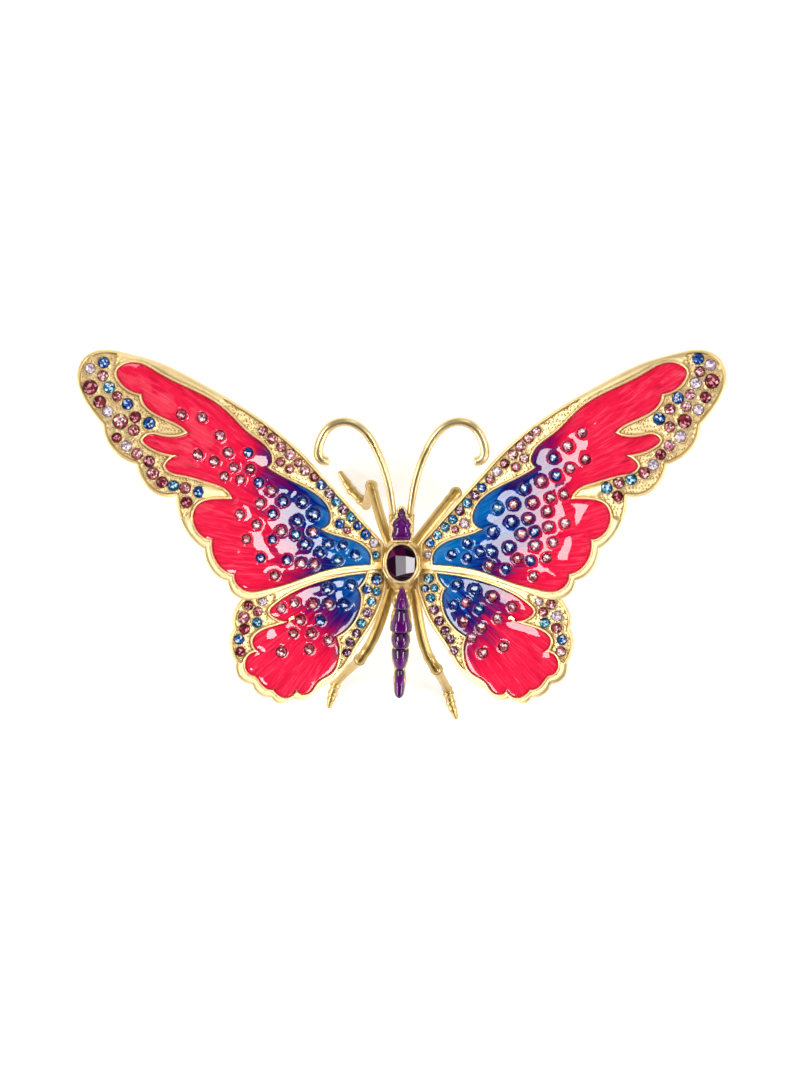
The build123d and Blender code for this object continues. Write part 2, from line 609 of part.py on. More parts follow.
# Abdomen barrels and their enamel
abdomen_line = Vector(*ABDOMEN_END) - Vector(*ABDOMEN_START)
ABDOMEN_PLANE = Plane(
    origin=Vector(*ABDOMEN_START) + Vector(0, THORAX_Y, 0), x_dir=(1, 0, 0), z_dir=abdomen_line
)


def barrel(segment, grow):
    """One abdomen barrel, grown or shrunk evenly."""
    start, end, widest, start_radius, middle_radius, end_radius = segment
    with BuildPart() as turned:
        with BuildSketch(Plane(ABDOMEN_PLANE.origin, ABDOMEN_PLANE.x_dir, -ABDOMEN_PLANE.y_dir)):
            with BuildLine():
                Spline((start_radius + grow, start), (middle_radius + grow, widest), (end_radius + grow, end))
                Polyline((end_radius + grow, end), (0, end), (0, start), (start_radius + grow, start))
            make_face()
        revolve(axis=Axis(ABDOMEN_PLANE.origin, ABDOMEN_PLANE.z_dir))
    return turned.part


def abdomen_enamel(segment):
    """The enamel pad let into the top of one abdomen barrel."""
    start, end, widest, start_radius, middle_radius, end_radius = segment
    half_width = middle_radius - ENAMEL_EDGE
    length = end - start - ENAMEL_GAP
    middle = ABDOMEN_PLANE.origin + ABDOMEN_PLANE.z_dir * ((start + end) / 2)
    with BuildPart() as pad:
        add(barrel(segment, ENAMEL_PROUD))
        add(barrel(segment, -ENAMEL_DEPTH), mode=Mode.SUBTRACT)
        with BuildSketch(Plane(middle)):
            RectangleRounded(2 * half_width, length, half_width * ENAMEL_ROUNDING)
        extrude(amount=PAD_REACH, mode=Mode.INTERSECT)
    return pad.part


# Head outline and enamel
head_sketch = plan_outline(HEAD_OUTLINE)
with BuildPart() as head_enamel:
    with BuildSketch(PLAN.offset(HEAD_ENAMEL_BASE_Z)):
        add(head_sketch)
    extrude(amount=HEAD_ENAMEL_TOP_Z - HEAD_ENAMEL_BASE_Z)
save(head_enamel.part, "head_enamel")

enamel_pads = [abdomen_enamel(segment) for segment in ABDOMEN_BARRELS]
for number, pad in enumerate(enamel_pads, start=1):
    save(pad, f"abdomen_enamel_{number}")

# Shoulders under the wing roots
ledges = []
for corners, drop in ((FOREWING_SHOULDER, 0.0), (HINDWING_SHOULDER, HINDWING_DROP)):
    with BuildSketch() as shoulder:
        with BuildLine():
            Polyline(*corners, close=True)
        make_face()
    ledge = wing_layer(shoulder.sketch, PLATE_BOTTOM - drop - SHOULDER_THICKNESS, PLATE_BOTTOM - drop)
    ledges += [ledge, mirrored(ledge)]

# Round cheeks of the head that hold the antennae
cheek = taper(CHEEK_START, CHEEK_END, *CHEEK_RADII)

# Body casting: thorax, shoulders, head and abdomen in one piece
with BuildPart() as body_casting:
    with BuildSketch(Plane(origin=(0, THORAX_Y, THORAX_Z), z_dir=(0, 0, 1))):
        Ellipse(THORAX_HALF_WIDTH, THORAX_HALF_LENGTH)
        with Locations((-THORAX_HALF_WIDTH, 0)):
            Rectangle(2 * THORAX_HALF_WIDTH, 2 * THORAX_HALF_LENGTH, mode=Mode.SUBTRACT)
    revolve(axis=Axis((0, 0, THORAX_Z), (0, 1, 0)))
    for segment in ABDOMEN_BARRELS:
        add(barrel(segment, 0))
    with Locations(ABDOMEN_PLANE.origin + ABDOMEN_PLANE.z_dir * ABDOMEN_BARRELS[-1][1]):
        Sphere(ABDOMEN_BARRELS[-1][-1])
    with BuildSketch(PLAN.offset(HEAD_BASE_Z)):
        add(plan_outline(grown_runs(HEAD_OUTLINE, HEAD_MARGIN)))
    extrude(amount=HEAD_TOP_Z - HEAD_BASE_Z)
    add([cheek, mirrored(cheek)])
    add(ledges)
    with BuildSketch(PLAN.offset(BEZEL_BASE_Z)):
        Ellipse(*BEZEL_SIZE)
    extrude(amount=BEZEL_TOP_Z - BEZEL_BASE_Z, mode=Mode.SUBTRACT)
    add([head_enamel.part] + enamel_pads, mode=Mode.SUBTRACT)
    add(wing_plates, mode=Mode.SUBTRACT)
    add([right_antenna, left_antenna] + list(leg_parts.values()) + screw_group, mode=Mode.SUBTRACT)
save(body_casting.part, "body_casting")
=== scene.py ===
import math

import bpy
import numpy as np
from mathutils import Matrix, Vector
from mathutils.geometry import delaunay_2d_cdt


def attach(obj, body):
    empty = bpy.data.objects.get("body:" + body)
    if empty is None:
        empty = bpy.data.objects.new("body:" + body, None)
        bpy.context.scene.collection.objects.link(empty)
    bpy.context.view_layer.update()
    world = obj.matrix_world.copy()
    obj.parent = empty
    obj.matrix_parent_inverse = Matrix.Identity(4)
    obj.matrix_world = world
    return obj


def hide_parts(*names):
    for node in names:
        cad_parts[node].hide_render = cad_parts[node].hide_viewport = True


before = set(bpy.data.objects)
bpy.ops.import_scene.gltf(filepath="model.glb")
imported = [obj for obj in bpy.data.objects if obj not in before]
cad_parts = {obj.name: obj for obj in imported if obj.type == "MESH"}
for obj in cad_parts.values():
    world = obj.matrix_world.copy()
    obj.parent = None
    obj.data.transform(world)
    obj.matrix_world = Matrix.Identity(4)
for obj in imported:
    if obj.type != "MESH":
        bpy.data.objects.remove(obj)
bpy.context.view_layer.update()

# Plan positions are in millimetres from the middle of the thorax stone, as in the CAD source
MM = 0.001
THORAX_Y = -8.1
WING_RADIUS = 300.0
WING_CENTRE = (153.1, 8.0, -224.3)
HINDWING_DROP = 2.6

# Levels above the wing's middle sphere
EDGE_LOW = 0.15
RIM_TOP = 1.05
WIRE_TOP = 1.15
WIRE_LOW = 0.35
PAVE_FLOOR = 0.3
ENAMEL_EDGE = 0.4
ENAMEL_TOP = 0.6
ENAMEL_CROWN = 0.3
ENAMEL_BASE = -0.1
SEAT_LEVEL = -0.3
PIT_LEVEL = 0.2
WIRE_FOOT = 0.75
PLATE_BOTTOM = -1.2
PLATE_EDGE = -0.65

RIM_WIDTH = 1.35
WIRE_HALF = 0.42
BAND_GAP = 0.86
BAND_GROOVE = 0.14
WAVE_HEIGHT = {-1: 0.075, 1: 0.04}
# How far from its edge the enamel has all but reached its top and its crown
ENAMEL_TOP_REACH = 1.1
ENAMEL_CROWN_REACH = 2.8
# Collar in the gold and lip in the enamel round a stone, as gap from the stone, width and height
COLLAR = (0.12, 0.16, 0.3)
LIP = (0.12, 0.22, 0.2)
LIP_FOOT = (0.0, 0.8, 0.04)

# Spacing of points along outlines and of the grids between them, and the distances from the
# outline and the enamel's edge at which rows of vertices run
STEP = 0.5
GRID = 0.9
BED_GRID = 3.0
RIM_ROWS = (0.1, 0.28, 0.5, 0.68, 0.9, 1.12, 1.3, 1.4)
PLATE_ROWS = (0.5, 1.0)
WIRE_ROWS = (0.1, 0.25, 0.42, 0.6, 0.76, 0.86, 1.0)
BED_ROW = 0.07
ENAMEL_ROWS = (0.12, 0.3, 0.55, 0.9, 1.4)

FOREWING_EDGE = [
    [(5.4, 6.0), (26.9, 30.0)],
    [
        (26.9, 30.0), (35.3, 38.4), (45.0, 45.8), (65.0, 57.5), (75.0, 62.3), (85.0, 65.2),
        (92.5, 66.3), (97.8, 64.5), (100.8, 57.5), (97.5, 48.8), (92.8, 42.7),
    ],
    [(92.8, 42.7), (91.8, 38.3), (88.0, 33.4), (82.5, 30.6)],
    [(82.5, 30.6), (81.2, 26.6), (77.7, 22.3), (70.1, 20.7)],
    [(70.1, 20.7), (69.4, 15.2), (66.8, 9.4), (61.6, 4.5)],
    [(61.6, 4.5), (60.5, -0.1), (57.3, -4.1), (54.3, -5.5)],
    [
        (54.3, -5.5), (53.0, -9.0), (49.2, -11.3), (45.2, -11.2), (38.9, -9.1), (32.8, -6.9),
        (23.5, -4.3), (11.2, -2.6), (5.4, -1.8),
    ],
    [(5.4, -1.8), (5.4, 6.0)],
]
FOREWING_CELL = [
    [(10.0, -0.5), (9.9, 2.3), (13.7, 6.3), (19.5, 8.2), (25.4, 10.6)],
    [(25.4, 10.6), (22.3, 13.4), (22.9, 16.8), (30.3, 23.5), (38.9, 27.8), (42.0, 29.8)],
    [
        (42.0, 29.8), (40.4, 32.0), (41.3, 34.9), (47.4, 40.2), (55.0, 47.6), (65.0, 53.7),
        (75.0, 58.6), (85.1, 62.0), (88.4, 59.5), (87.6, 56.7), (84.3, 53.6), (80.7, 52.5),
    ],
    [(80.7, 52.5), (79.4, 48.8), (75.1, 45.7), (66.4, 40.5)],
    [
        (66.4, 40.5), (69.9, 39.2), (75.0, 39.5), (78.2, 39.9), (80.2, 38.3), (78.4, 36.2),
        (73.8, 34.2), (69.6, 33.4),
    ],
    [
        (69.6, 33.4), (72.5, 31.7), (73.3, 30.3), (72.5, 28.8), (68.8, 27.5), (60.0, 25.2),
        (54.6, 22.9), (52.6, 19.9),
    ],
    [(52.6, 19.9), (59.0, 19.7), (63.3, 18.1), (64.7, 14.9), (62.5, 8.9), (58.8, 7.4)],
    [(58.8, 7.4), (58.6, 3.1), (56.5, -0.9), (52.0, -3.4)],
    [
        (52.0, -3.4), (51.3, -6.4), (48.4, -8.6), (42.6, -8.3), (35.4, -6.4), (24.8, -2.6),
        (15.2, -0.8), (10.0, -0.5),
    ],
]
HINDWING_EDGE = [
    [(4.3, -3.0), (11.0, 0.2), (23.5, -1.3), (33.0, -3.9), (43.0, -7.2), (50.2, -11.5)],
    [(50.2, -11.5), (51.8, -14.0), (52.8, -16.9), (52.5, -20.4)],
    [(52.5, -20.4), (53.7, -24.1), (53.1, -28.4), (51.8, -31.0)],
    [(51.8, -31.0), (51.2, -35.2), (49.6, -36.9), (46.7, -37.9)],
    [(46.7, -37.9), (45.7, -40.0), (44.1, -41.4), (40.6, -42.1)],
    [(40.6, -42.1), (38.1, -44.0), (36.1, -43.5), (33.6, -42.4)],
    [
        (33.6, -42.4), (29.1, -42.1), (25.9, -39.3), (22.6, -37.7), (18.8, -34.4), (13.6, -26.2),
        (9.2, -19.5), (6.2, -13.2), (4.3, -6.9),
    ],
    [(4.3, -6.9), (4.3, -3.0)],
]
HINDWING_CELL = [
    [
        (11.1, -3.3), (19.1, -4.4), (27.8, -6.7), (34.2, -9.4), (39.7, -13.1), (41.1, -15.0),
        (39.7, -16.9), (33.9, -17.1),
    ],
    [(33.9, -17.1), (36.8, -18.8), (43.2, -20.9), (46.4, -24.0), (46.1, -25.9), (44.3, -27.8)],
    [(44.3, -27.8), (48.7, -30.8), (48.4, -33.3), (45.6, -35.2)],
    [(45.6, -35.2), (44.1, -37.1), (42.5, -38.9), (40.0, -39.5)],
    [(40.0, -39.5), (38.4, -41.3), (36.1, -42.1), (33.6, -40.9), (32.8, -39.7)],
    [
        (32.8, -39.7), (31.0, -41.1), (28.8, -40.6), (26.2, -37.3), (22.0, -34.5), (19.6, -28.8),
        (20.5, -23.1),
    ],
    [(20.5, -23.1), (15.9, -19.5), (13.1, -14.0), (13.2, -9.2), (14.0, -7.9)],
    [(14.0, -7.9), (12.4, -6.3), (11.1, -3.3)],
]
FOREWING_BORDERS = [
    [(89.5, 70), (110, 70), (110, 14), (62, 14), (62, 40), (87, 58)],
    [(55.5, 60), (55.5, 42), (25, 8), (12, 0.8), (0, 0.8), (0, 12), (22, 42)],
]
HINDWING_BORDERS = [
    [(40, -9.5), (60, -9.5), (60, -31), (44, -31), (38, -18)],
    [(3, -3.4), (12, -3.4), (16, -14), (22, -24), (22, -33), (13, -33), (3, -14)],
]
SIDES = ((-1, "left"), (1, "right"))
COLOURS = ("sapphire", "aqua", "opal", "rose", "light_rose", "garnet", "amethyst")


# Curves and plan geometry
def hump(value, centre, width, height=1.0):
    """A smooth hump about a centre."""
    return height * np.exp(-(((value - centre) / width) ** 2))


def arch(share):
    """A half-round profile over a share from 0 to 1, and 0 beyond."""
    return np.sqrt(np.clip(1 - (2 * share - 1) ** 2, 0, 1))


def unit(vectors):
    """Vectors scaled to length 1."""
    return vectors / np.linalg.norm(vectors, axis=-1, keepdims=True)


def smoothstep(value, low, high):
    t = np.clip((value - low) / (high - low), 0, 1)
    return t * t * (3 - 2 * t)


def curve_points(points, step):
    """Evenly spaced points on a smooth cubic curve through the given ones."""
    knots = np.array(points, float)
    chord = np.linalg.norm(np.diff(knots, axis=0), axis=1)
    place = np.concatenate([[0.0], np.cumsum(chord)])
    count = len(knots)
    if count == 2:
        steps = max(1, round(place[-1] / step))
        return knots[0] + np.linspace(0, 1, steps + 1)[:, None] * (knots[1] - knots[0])

    near = min(4, count)
    matrix = np.zeros((count, count))
    right = np.zeros_like(knots)
    for end, order in ((0, slice(None)), (-1, slice(None, None, -1))):
        # The slope at each end is that of the polynomial through its nearest points
        gaps = place[order][:near] - place[end]
        matrix[end, end] = 1
        right[end] = np.linalg.solve(np.vander(gaps, increasing=True), knots[order][:near])[1]
    for i in range(1, count - 1):
        before, after = chord[i - 1], chord[i]
        matrix[i, i - 1 : i + 2] = (1 / before, 2 * (1 / before + 1 / after), 1 / after)
        right[i] = 3 * ((knots[i] - knots[i - 1]) / before**2 + (knots[i + 1] - knots[i]) / after**2)
    slopes = np.linalg.solve(matrix, right)
    fine = np.linspace(0, place[-1], max(8, int(place[-1] / step) * 4))
    part = np.clip(np.searchsorted(place, fine, side="right") - 1, 0, count - 2)
    length = chord[part]
    t = ((fine - place[part]) / length)[:, None]
    length = length[:, None]
    curve = (
        (2 * t**3 - 3 * t**2 + 1) * knots[part]
        + (t**3 - 2 * t**2 + t) * length * slopes[part]
        + (3 * t**2 - 2 * t**3) * knots[part + 1]
        + (t**3 - t**2) * length * slopes[part + 1]
    )
    run = np.concatenate([[0.0], np.cumsum(np.linalg.norm(np.diff(curve, axis=0), axis=1))])
    even = np.linspace(0, run[-1], max(2, round(run[-1] / step)) + 1)
    return np.stack([np.interp(even, run, curve[:, k]) for k in range(curve.shape[1])], axis=1)


def loop_points(runs, step=STEP):
    """A closed loop of points along the runs of an outline."""
    return np.concatenate([curve_points(run, step)[:-1] for run in runs])


def distance_to(points, loop):
    """Distance of each point from a closed loop."""
    start = loop
    along = np.roll(loop, -1, axis=0) - start
    squared = (along**2).sum(1)
    nearest = np.empty(len(points))
    for low in range(0, len(points), 1500):
        offset = points[low : low + 1500, None, :] - start
        t = np.clip((offset * along).sum(2) / squared, 0, 1)
        gap = offset - t[..., None] * along
        nearest[low : low + 1500] = np.sqrt((gap**2).sum(2)).min(1)
    return nearest


def inside(points, loop):
    """True for each point inside a closed loop."""
    x0, y0 = loop[:, 0], loop[:, 1]
    x1, y1 = np.roll(x0, -1), np.roll(y0, -1)
    rise = np.where(y1 == y0, 1e-12, y1 - y0)
    found = np.zeros(len(points), bool)
    for low in range(0, len(points), 4000):
        x = points[low : low + 4000, 0:1]
        y = points[low : low + 4000, 1:2]
        crosses = ((y0 > y) != (y1 > y)) & (x < (x1 - x0) * (y - y0) / rise + x0)
        found[low : low + 4000] = crosses.sum(1) % 2 == 1
    return found


def deep_inside(points, loop, gap):
    """True for each point inside a closed loop and further from it than a gap."""
    return inside(points, loop) & (distance_to(points, loop) > gap)


def beside_loop(loop, distance):
    """Points at a distance from a clockwise loop, outside it if positive, with fans at its corners."""
    along = unit(np.roll(loop, -1, axis=0) - loop)
    outward = np.stack([-along[:, 1], along[:, 0]], axis=1)
    middle = (loop + np.roll(loop, -1, axis=0)) / 2
    found = [middle + outward * distance]
    before = np.roll(outward, 1, axis=0)
    for corner, first, second in zip(loop, before, outward):
        turn = math.atan2(first[0] * second[1] - first[1] * second[0], first @ second)
        if abs(turn) > 0.3 and turn * distance < 0:
            fans = max(2, int(abs(turn) / 0.4))
            base = math.atan2(first[1], first[0])
            for k in range(fans + 1):
                angle = base + turn * k / fans
                found.append([corner + distance * np.array([math.cos(angle), math.sin(angle)])])
    candidates = np.concatenate(found)
    return candidates[distance_to(candidates, loop) > abs(distance) - 0.02]


def plan_grid(loop, spacing):
    """A hexagonal grid of points over a loop's box."""
    low = loop.min(0)
    high = loop.max(0)
    rows = []
    for k, y in enumerate(np.arange(low[1], high[1], spacing * 0.866)):
        xs = np.arange(low[0] + (k % 2) * spacing / 2, high[0], spacing)
        rows.append(np.stack([xs, np.full_like(xs, y)], axis=1))
    return np.concatenate(rows)


def thinned(points, gap):
    """The points with later ones dropped where two share a small square."""
    keys = np.round(points / gap).astype(int)
    kept = np.unique(keys, axis=0, return_index=True)[1]
    return points[np.sort(kept)]


def triangulate(loop, extra, holes=()):
    """Triangles over a loop less its holes, through the extra points."""
    points = [loop, *holes, extra]
    edges = []
    start = 0
    for ring in [loop, *holes]:
        count = len(ring)
        edges += [(start + k, start + (k + 1) % count) for k in range(count)]
        start += count
    flat = np.concatenate(points)
    made = delaunay_2d_cdt([Vector(p) for p in flat.tolist()], edges, [], 0, 1e-5)
    verts = np.array([tuple(v) for v in made[0]])
    faces = np.array([f for f in made[2] if len(f) == 3])
    centre = verts[faces].mean(1)
    keep = inside(centre, loop)
    for ring in holes:
        keep &= ~inside(centre, ring)
    faces = faces[keep]
    a, b, c = verts[faces[:, 0]], verts[faces[:, 1]], verts[faces[:, 2]]
    area = (b[:, 0] - a[:, 0]) * (c[:, 1] - a[:, 1]) - (b[:, 1] - a[:, 1]) * (c[:, 0] - a[:, 0])
    faces[area < 0] = faces[area < 0][:, ::-1]
    used = np.unique(faces)
    index = np.full(len(verts), -1)
    index[used] = np.arange(len(used))
    return verts[used], index[faces]


def lift(plan, level, side):
    """Points of a wing in millimetres in the shared frame, from plan position and level."""
    out_x = plan[:, 0] - WING_CENTRE[0]
    out_y = plan[:, 1] - WING_CENTRE[1]
    rise = np.sqrt((WING_RADIUS + level) ** 2 - out_x**2 - out_y**2)
    return np.stack([side * plan[:, 0], plan[:, 1] + THORAX_Y, WING_CENTRE[2] + rise], axis=1)


def open_edges(faces):
    """Directed edges that only one triangle has."""
    pairs = np.concatenate([faces[:, [0, 1]], faces[:, [1, 2]], faces[:, [2, 0]]])
    seen = {(a, b) for a, b in pairs.tolist()}
    return [(a, b) for a, b in pairs.tolist() if (b, a) not in seen]


def slab(plan, faces, top, bottom, side):
    """A closed curved slab: the same triangles at two levels, joined round their edges."""
    count = len(plan)
    verts = np.concatenate([lift(plan, top, side), lift(plan, bottom, side)])
    lower = faces[:, ::-1] + count
    walls = [(b, a, a + count, b + count) for a, b in open_edges(faces)]
    return verts, turned_to(side, faces.tolist() + lower.tolist() + walls)


# Materials
def feed(tree, node, inputs):
    """Each input of a node by name or number: linked where it is given a socket, and else set."""
    for key, value in inputs.items():
        if isinstance(value, bpy.types.NodeSocket):
            tree.links.new(value, node.inputs[key])
        else:
            node.inputs[key].default_value = value
    return node


def add_node(tree, kind, inputs=None, **settings):
    """A new shader node, its settings made first because they decide which inputs it has."""
    node = tree.nodes.new("ShaderNode" + kind)
    for key, value in settings.items():
        setattr(node, key, value)
    return feed(tree, node, inputs or {})


def new_material(name):
    material = bpy.data.materials.new(name)
    material.use_nodes = True
    return material, material.node_tree, material.node_tree.nodes["Principled BSDF"]


def attribute(tree, name, output="Fac"):
    return add_node(tree, "Attribute", attribute_name=name).outputs[output]


def mapped(tree, where, scale):
    return add_node(tree, "Mapping", {"Vector": where, "Scale": scale}).outputs["Vector"]


def object_place(tree, scale):
    return mapped(tree, add_node(tree, "TexCoord").outputs["Object"], scale)


def noise(tree, where, scale, detail, rough=0.5, distortion=0.0):
    inputs = {"Vector": where, "Scale": scale, "Detail": detail, "Roughness": rough, "Distortion": distortion}
    return add_node(tree, "TexNoise", inputs).outputs["Fac"]


def math_node(tree, operation, *values, **settings):
    return add_node(tree, "Math", dict(enumerate(values)), operation=operation, **settings).outputs[0]


def spread(tree, value, low, high, to_low=0.0, to_high=1.0):
    """A value taken from one range to another."""
    inputs = {"Value": value, "From Min": low, "From Max": high, "To Min": to_low, "To Max": to_high}
    return add_node(tree, "MapRange", inputs).outputs["Result"]


def mixed(tree, factor, first, second, blend="MIX"):
    """A colour from two, each a socket or a plain colour."""
    inputs = {"Factor": factor}
    for key, colour in (("A", first), ("B", second)):
        inputs[key] = (*colour, 1) if isinstance(colour, tuple) else colour
    return add_node(tree, "Mix", inputs, data_type="RGBA", blend_type=blend).outputs["Result"]


def ramp(tree, source, stops):
    node = add_node(tree, "ValToRGB", {"Fac": source})
    elements = node.color_ramp.elements
    elements[0].position, elements[0].color = stops[0][0], (*stops[0][1], 1)
    elements[1].position, elements[1].color = stops[-1][0], (*stops[-1][1], 1)
    for place, colour in stops[1:-1]:
        elements.new(place).color = (*colour, 1)
    return node.outputs["Color"]


def satin_gold(name, light, dark, recess_shade, rough):
    """Pale satin gold with cloudy tone, fine grain, rough patches and painted shade in its recesses."""
    material, tree, shader = new_material(name)
    place = object_place(tree, (1, 1, 1))
    cloud = noise(tree, place, 90.0, 4.0, 0.6)
    clean = ramp(tree, cloud, [(0.3, dark), (0.65, light)])
    grain = noise(tree, place, 1600.0, 2.0)
    bump = add_node(tree, "Bump", {"Strength": 0.12, "Distance": 0.0001, "Height": grain})
    feed(tree, shader, {
        "Base Color": mixed(tree, attribute(tree, "painted_shade"), clean, recess_shade),
        "Metallic": 1.0,
        "Roughness": spread(tree, cloud, 0.3, 0.7, rough - 0.05, rough + 0.08),
        "Normal": bump.outputs["Normal"],
    })
    return material


# Colours of the wing enamel, in linear light, by millimetres in from where the red turns to purple
PAINT_STOPS = [
    (-12.0, (0.92, 0.012, 0.060)), (-3.0, (0.88, 0.006, 0.052)), (1.0, (0.60, 0.001, 0.056)),
    (4.0, (0.32, 0.0, 0.08)), (7.0, (0.14, 0.0, 0.12)), (9.5, (0.05, 0.0, 0.13)),
    (12.0, (0.008, 0.001, 0.12)), (15.0, (0.0, 0.020, 0.24)), (19.0, (0.0, 0.09, 0.38)),
    (28.0, (0.0, 0.16, 0.49)), (36.0, (0.0, 0.21, 0.53)),
]
PAINT_LOW = PAINT_STOPS[0][0]
PAINT_HIGH = PAINT_STOPS[-1][0]
# How far, in millimetres, the slow drift and the streaks of the brush move those colours
DRIFT_REACH = 23.0
DRIFT_BACK = -21.0
STREAK_REACH = 19.0


def painted_enamel(name):
    """Clear-coated enamel, shaded from azure at the root through purple to red, with brush streaks."""
    material, tree, shader = new_material(name)
    flow = attribute(tree, "flow", "Vector")
    drift = noise(tree, mapped(tree, flow, (0.06, 0.42, 1.0)), 1.0, 3.0, 0.62, 0.6)
    streaks = noise(tree, mapped(tree, flow, (0.13, 1.9, 1.0)), 1.0, 5.0, 0.62, 0.9)
    wander = math_node(tree, "MULTIPLY_ADD", drift, DRIFT_REACH, DRIFT_BACK)
    brushed = math_node(tree, "MULTIPLY_ADD", streaks, STREAK_REACH, wander)
    depth = math_node(tree, "ADD", attribute(tree, "paint"), brushed)
    span = PAINT_HIGH - PAINT_LOW
    stops = [((mm - PAINT_LOW) / span, colour) for mm, colour in PAINT_STOPS]
    colour = ramp(tree, spread(tree, depth, PAINT_LOW, PAINT_HIGH), stops)
    colour = mixed(tree, spread(tree, streaks, 0.50, 0.72), colour, (0.012, 0.06, 0.075), "ADD")
    colour = mixed(tree, 1.0, colour, spread(tree, streaks, 0.28, 0.46, 0.62, 1.0), "MULTIPLY")
    # Painted shade, darker along the wire and round the stones
    colour = mixed(tree, attribute(tree, "painted_shade"), colour, (0.30, 0.25, 0.30), "MULTIPLY")
    feed(tree, shader, {
        "Base Color": colour, "Roughness": 0.45, "Specular IOR Level": 0.0,
        "Coat Weight": 1.0, "Coat Roughness": 0.02,
    })
    return material


def crystal(name, dark, main, flash, second):
    """A cut crystal with painted reflections: each facet is dark, its main colour or a painted glint, and
    some show the second colour.
    """
    material, tree, shader = new_material(name)
    split = add_node(tree, "SeparateColor", {"Color": attribute(tree, "facet", "Color")}).outputs
    tinted = mixed(tree, split["Green"], main, second)
    # Painted reflections: the tone takes a facet down to the dark colour and up to the painted glint
    tone = ramp(tree, split["Red"], [(0.0, (0.0, 0.0, 0.0)), (0.5, (1.0, 1.0, 1.0))])
    deep = mixed(tree, tone, dark, tinted)
    lit = mixed(tree, spread(tree, split["Red"], 0.6, 1.0), deep, flash)
    feed(tree, shader, {"Base Color": lit, "Roughness": 0.05, "Specular IOR Level": 0.25})
    return material


def purple_enamel(name):
    """Glossy purple enamel, a little cloudy, with painted shade where a segment tucks under the next."""
    material, tree, shader = new_material(name)
    cloud = noise(tree, object_place(tree, (1, 0.35, 1)), 420.0, 3.0)
    colour = ramp(tree, cloud, [(0.35, (0.05, 0.0, 0.065)), (0.7, (0.14, 0.001, 0.17))])
    feed(tree, shader, {
        "Base Color": mixed(tree, attribute(tree, "painted_shade"), colour, (0.12, 0.1, 0.15), "MULTIPLY"),
        "Roughness": 0.4, "Specular IOR Level": 0.0,
        "Coat Weight": 1.0, "Coat Roughness": 0.05, "Coat IOR": 1.55,
    })
    return material


def brushed_steel(name):
    material, tree, shader = new_material(name)
    cloud = noise(tree, object_place(tree, (1, 1, 1)), 800.0, 3.0)
    colour = ramp(tree, cloud, [(0.3, (0.42, 0.42, 0.43)), (0.7, (0.62, 0.62, 0.63))])
    feed(tree, shader, {"Base Color": colour, "Metallic": 1.0, "Roughness": 0.3})
    return material


GOLD = satin_gold("satin_gold", (0.98, 0.76, 0.40), (0.90, 0.67, 0.32), (0.42, 0.27, 0.09), 0.42)
# The legs and body sit under the wings, so their gold is a darker copy of the wing gold: painted shade
SHADED_GOLD = satin_gold("shaded_gold", (0.70, 0.50, 0.21), (0.45, 0.30, 0.09), (0.28, 0.17, 0.05), 0.34)
WIRE_GOLD = satin_gold("wire_gold", (0.90, 0.70, 0.37), (0.72, 0.53, 0.23), (0.42, 0.27, 0.09), 0.30)
ENAMEL = painted_enamel("wing_enamel")
PURPLE = purple_enamel("purple_enamel")
STEEL = brushed_steel("screw_steel")
# Dark, main, flash and second colours of each kind of crystal, in linear light; the dark and flash colours
# are painted reflection and painted glint
CRYSTAL_COLOURS = {
    "sapphire": ((0.001, 0.002, 0.065), (0.006, 0.050, 0.32), (0.80, 0.90, 1.0), (0.03, 0.26, 0.62)),
    "aqua": ((0.001, 0.015, 0.08), (0.008, 0.13, 0.40), (0.80, 0.97, 1.0), (0.10, 0.56, 0.60)),
    "opal": ((0.22, 0.13, 0.20), (0.80, 0.84, 0.86), (1.0, 1.0, 1.0), (0.80, 0.44, 0.56)),
    "rose": ((0.09, 0.002, 0.012), (0.46, 0.085, 0.12), (1.0, 0.86, 0.86), (0.72, 0.26, 0.18)),
    "light_rose": ((0.13, 0.004, 0.022), (0.66, 0.22, 0.27), (1.0, 0.90, 0.90), (0.76, 0.34, 0.48)),
    "garnet": ((0.050, 0.001, 0.006), (0.22, 0.010, 0.028), (0.86, 0.38, 0.42), (0.42, 0.04, 0.05)),
    "amethyst": ((0.03, 0.001, 0.012), (0.16, 0.02, 0.06), (0.94, 0.80, 0.87), (0.26, 0.10, 0.32)),
}
CRYSTALS = {name: crystal(f"{name}_crystal", *tones) for name, tones in CRYSTAL_COLOURS.items()}
# The dark oval stone, its pale flash colour a painted glint
OVAL = crystal(
    "oval_crystal", (0.003, 0.001, 0.003), (0.03, 0.004, 0.02), (0.75, 0.73, 0.75), (0.17, 0.006, 0.085)
)


# Pieces
def add_object(name, data):
    made = bpy.data.objects.new(name, data)
    bpy.context.scene.collection.objects.link(made)
    return made


def make_piece(name, verts, faces, material, nodes, sharp):
    """A mesh piece from millimetres, riding on the body and standing for CAD nodes.

    It is shaded smooth but for edges sharper than so many degrees, and flat where that is 0.
    """
    mesh = bpy.data.meshes.new(name)
    mesh.from_pydata((np.asarray(verts, float) * MM).tolist(), [], [tuple(int(i) for i in f) for f in faces])
    mesh.update()
    piece = add_object(name, mesh)
    mesh.materials.append(material)
    if sharp > 0:
        mesh.polygons.foreach_set("use_smooth", [True] * len(mesh.polygons))
        mesh.set_sharp_from_angle(angle=math.radians(sharp))
    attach(piece, "root")
    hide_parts(*nodes)
    return piece


def facet_attribute(piece, tones):
    """Painted tone, from dark reflection to glint, and second colour of each facet's corners, for the crystal
    material.
    """
    colours = piece.data.color_attributes.new("facet", "FLOAT_COLOR", "CORNER")
    colours.data.foreach_set("color", np.asarray(tones, np.float32).ravel())


def quad_ring(low, high, count):
    """Quads between two rings of so many vertices, each ring given by its first vertex."""
    return [(low + j, low + (j + 1) % count, high + (j + 1) % count, high + j) for j in range(count)]


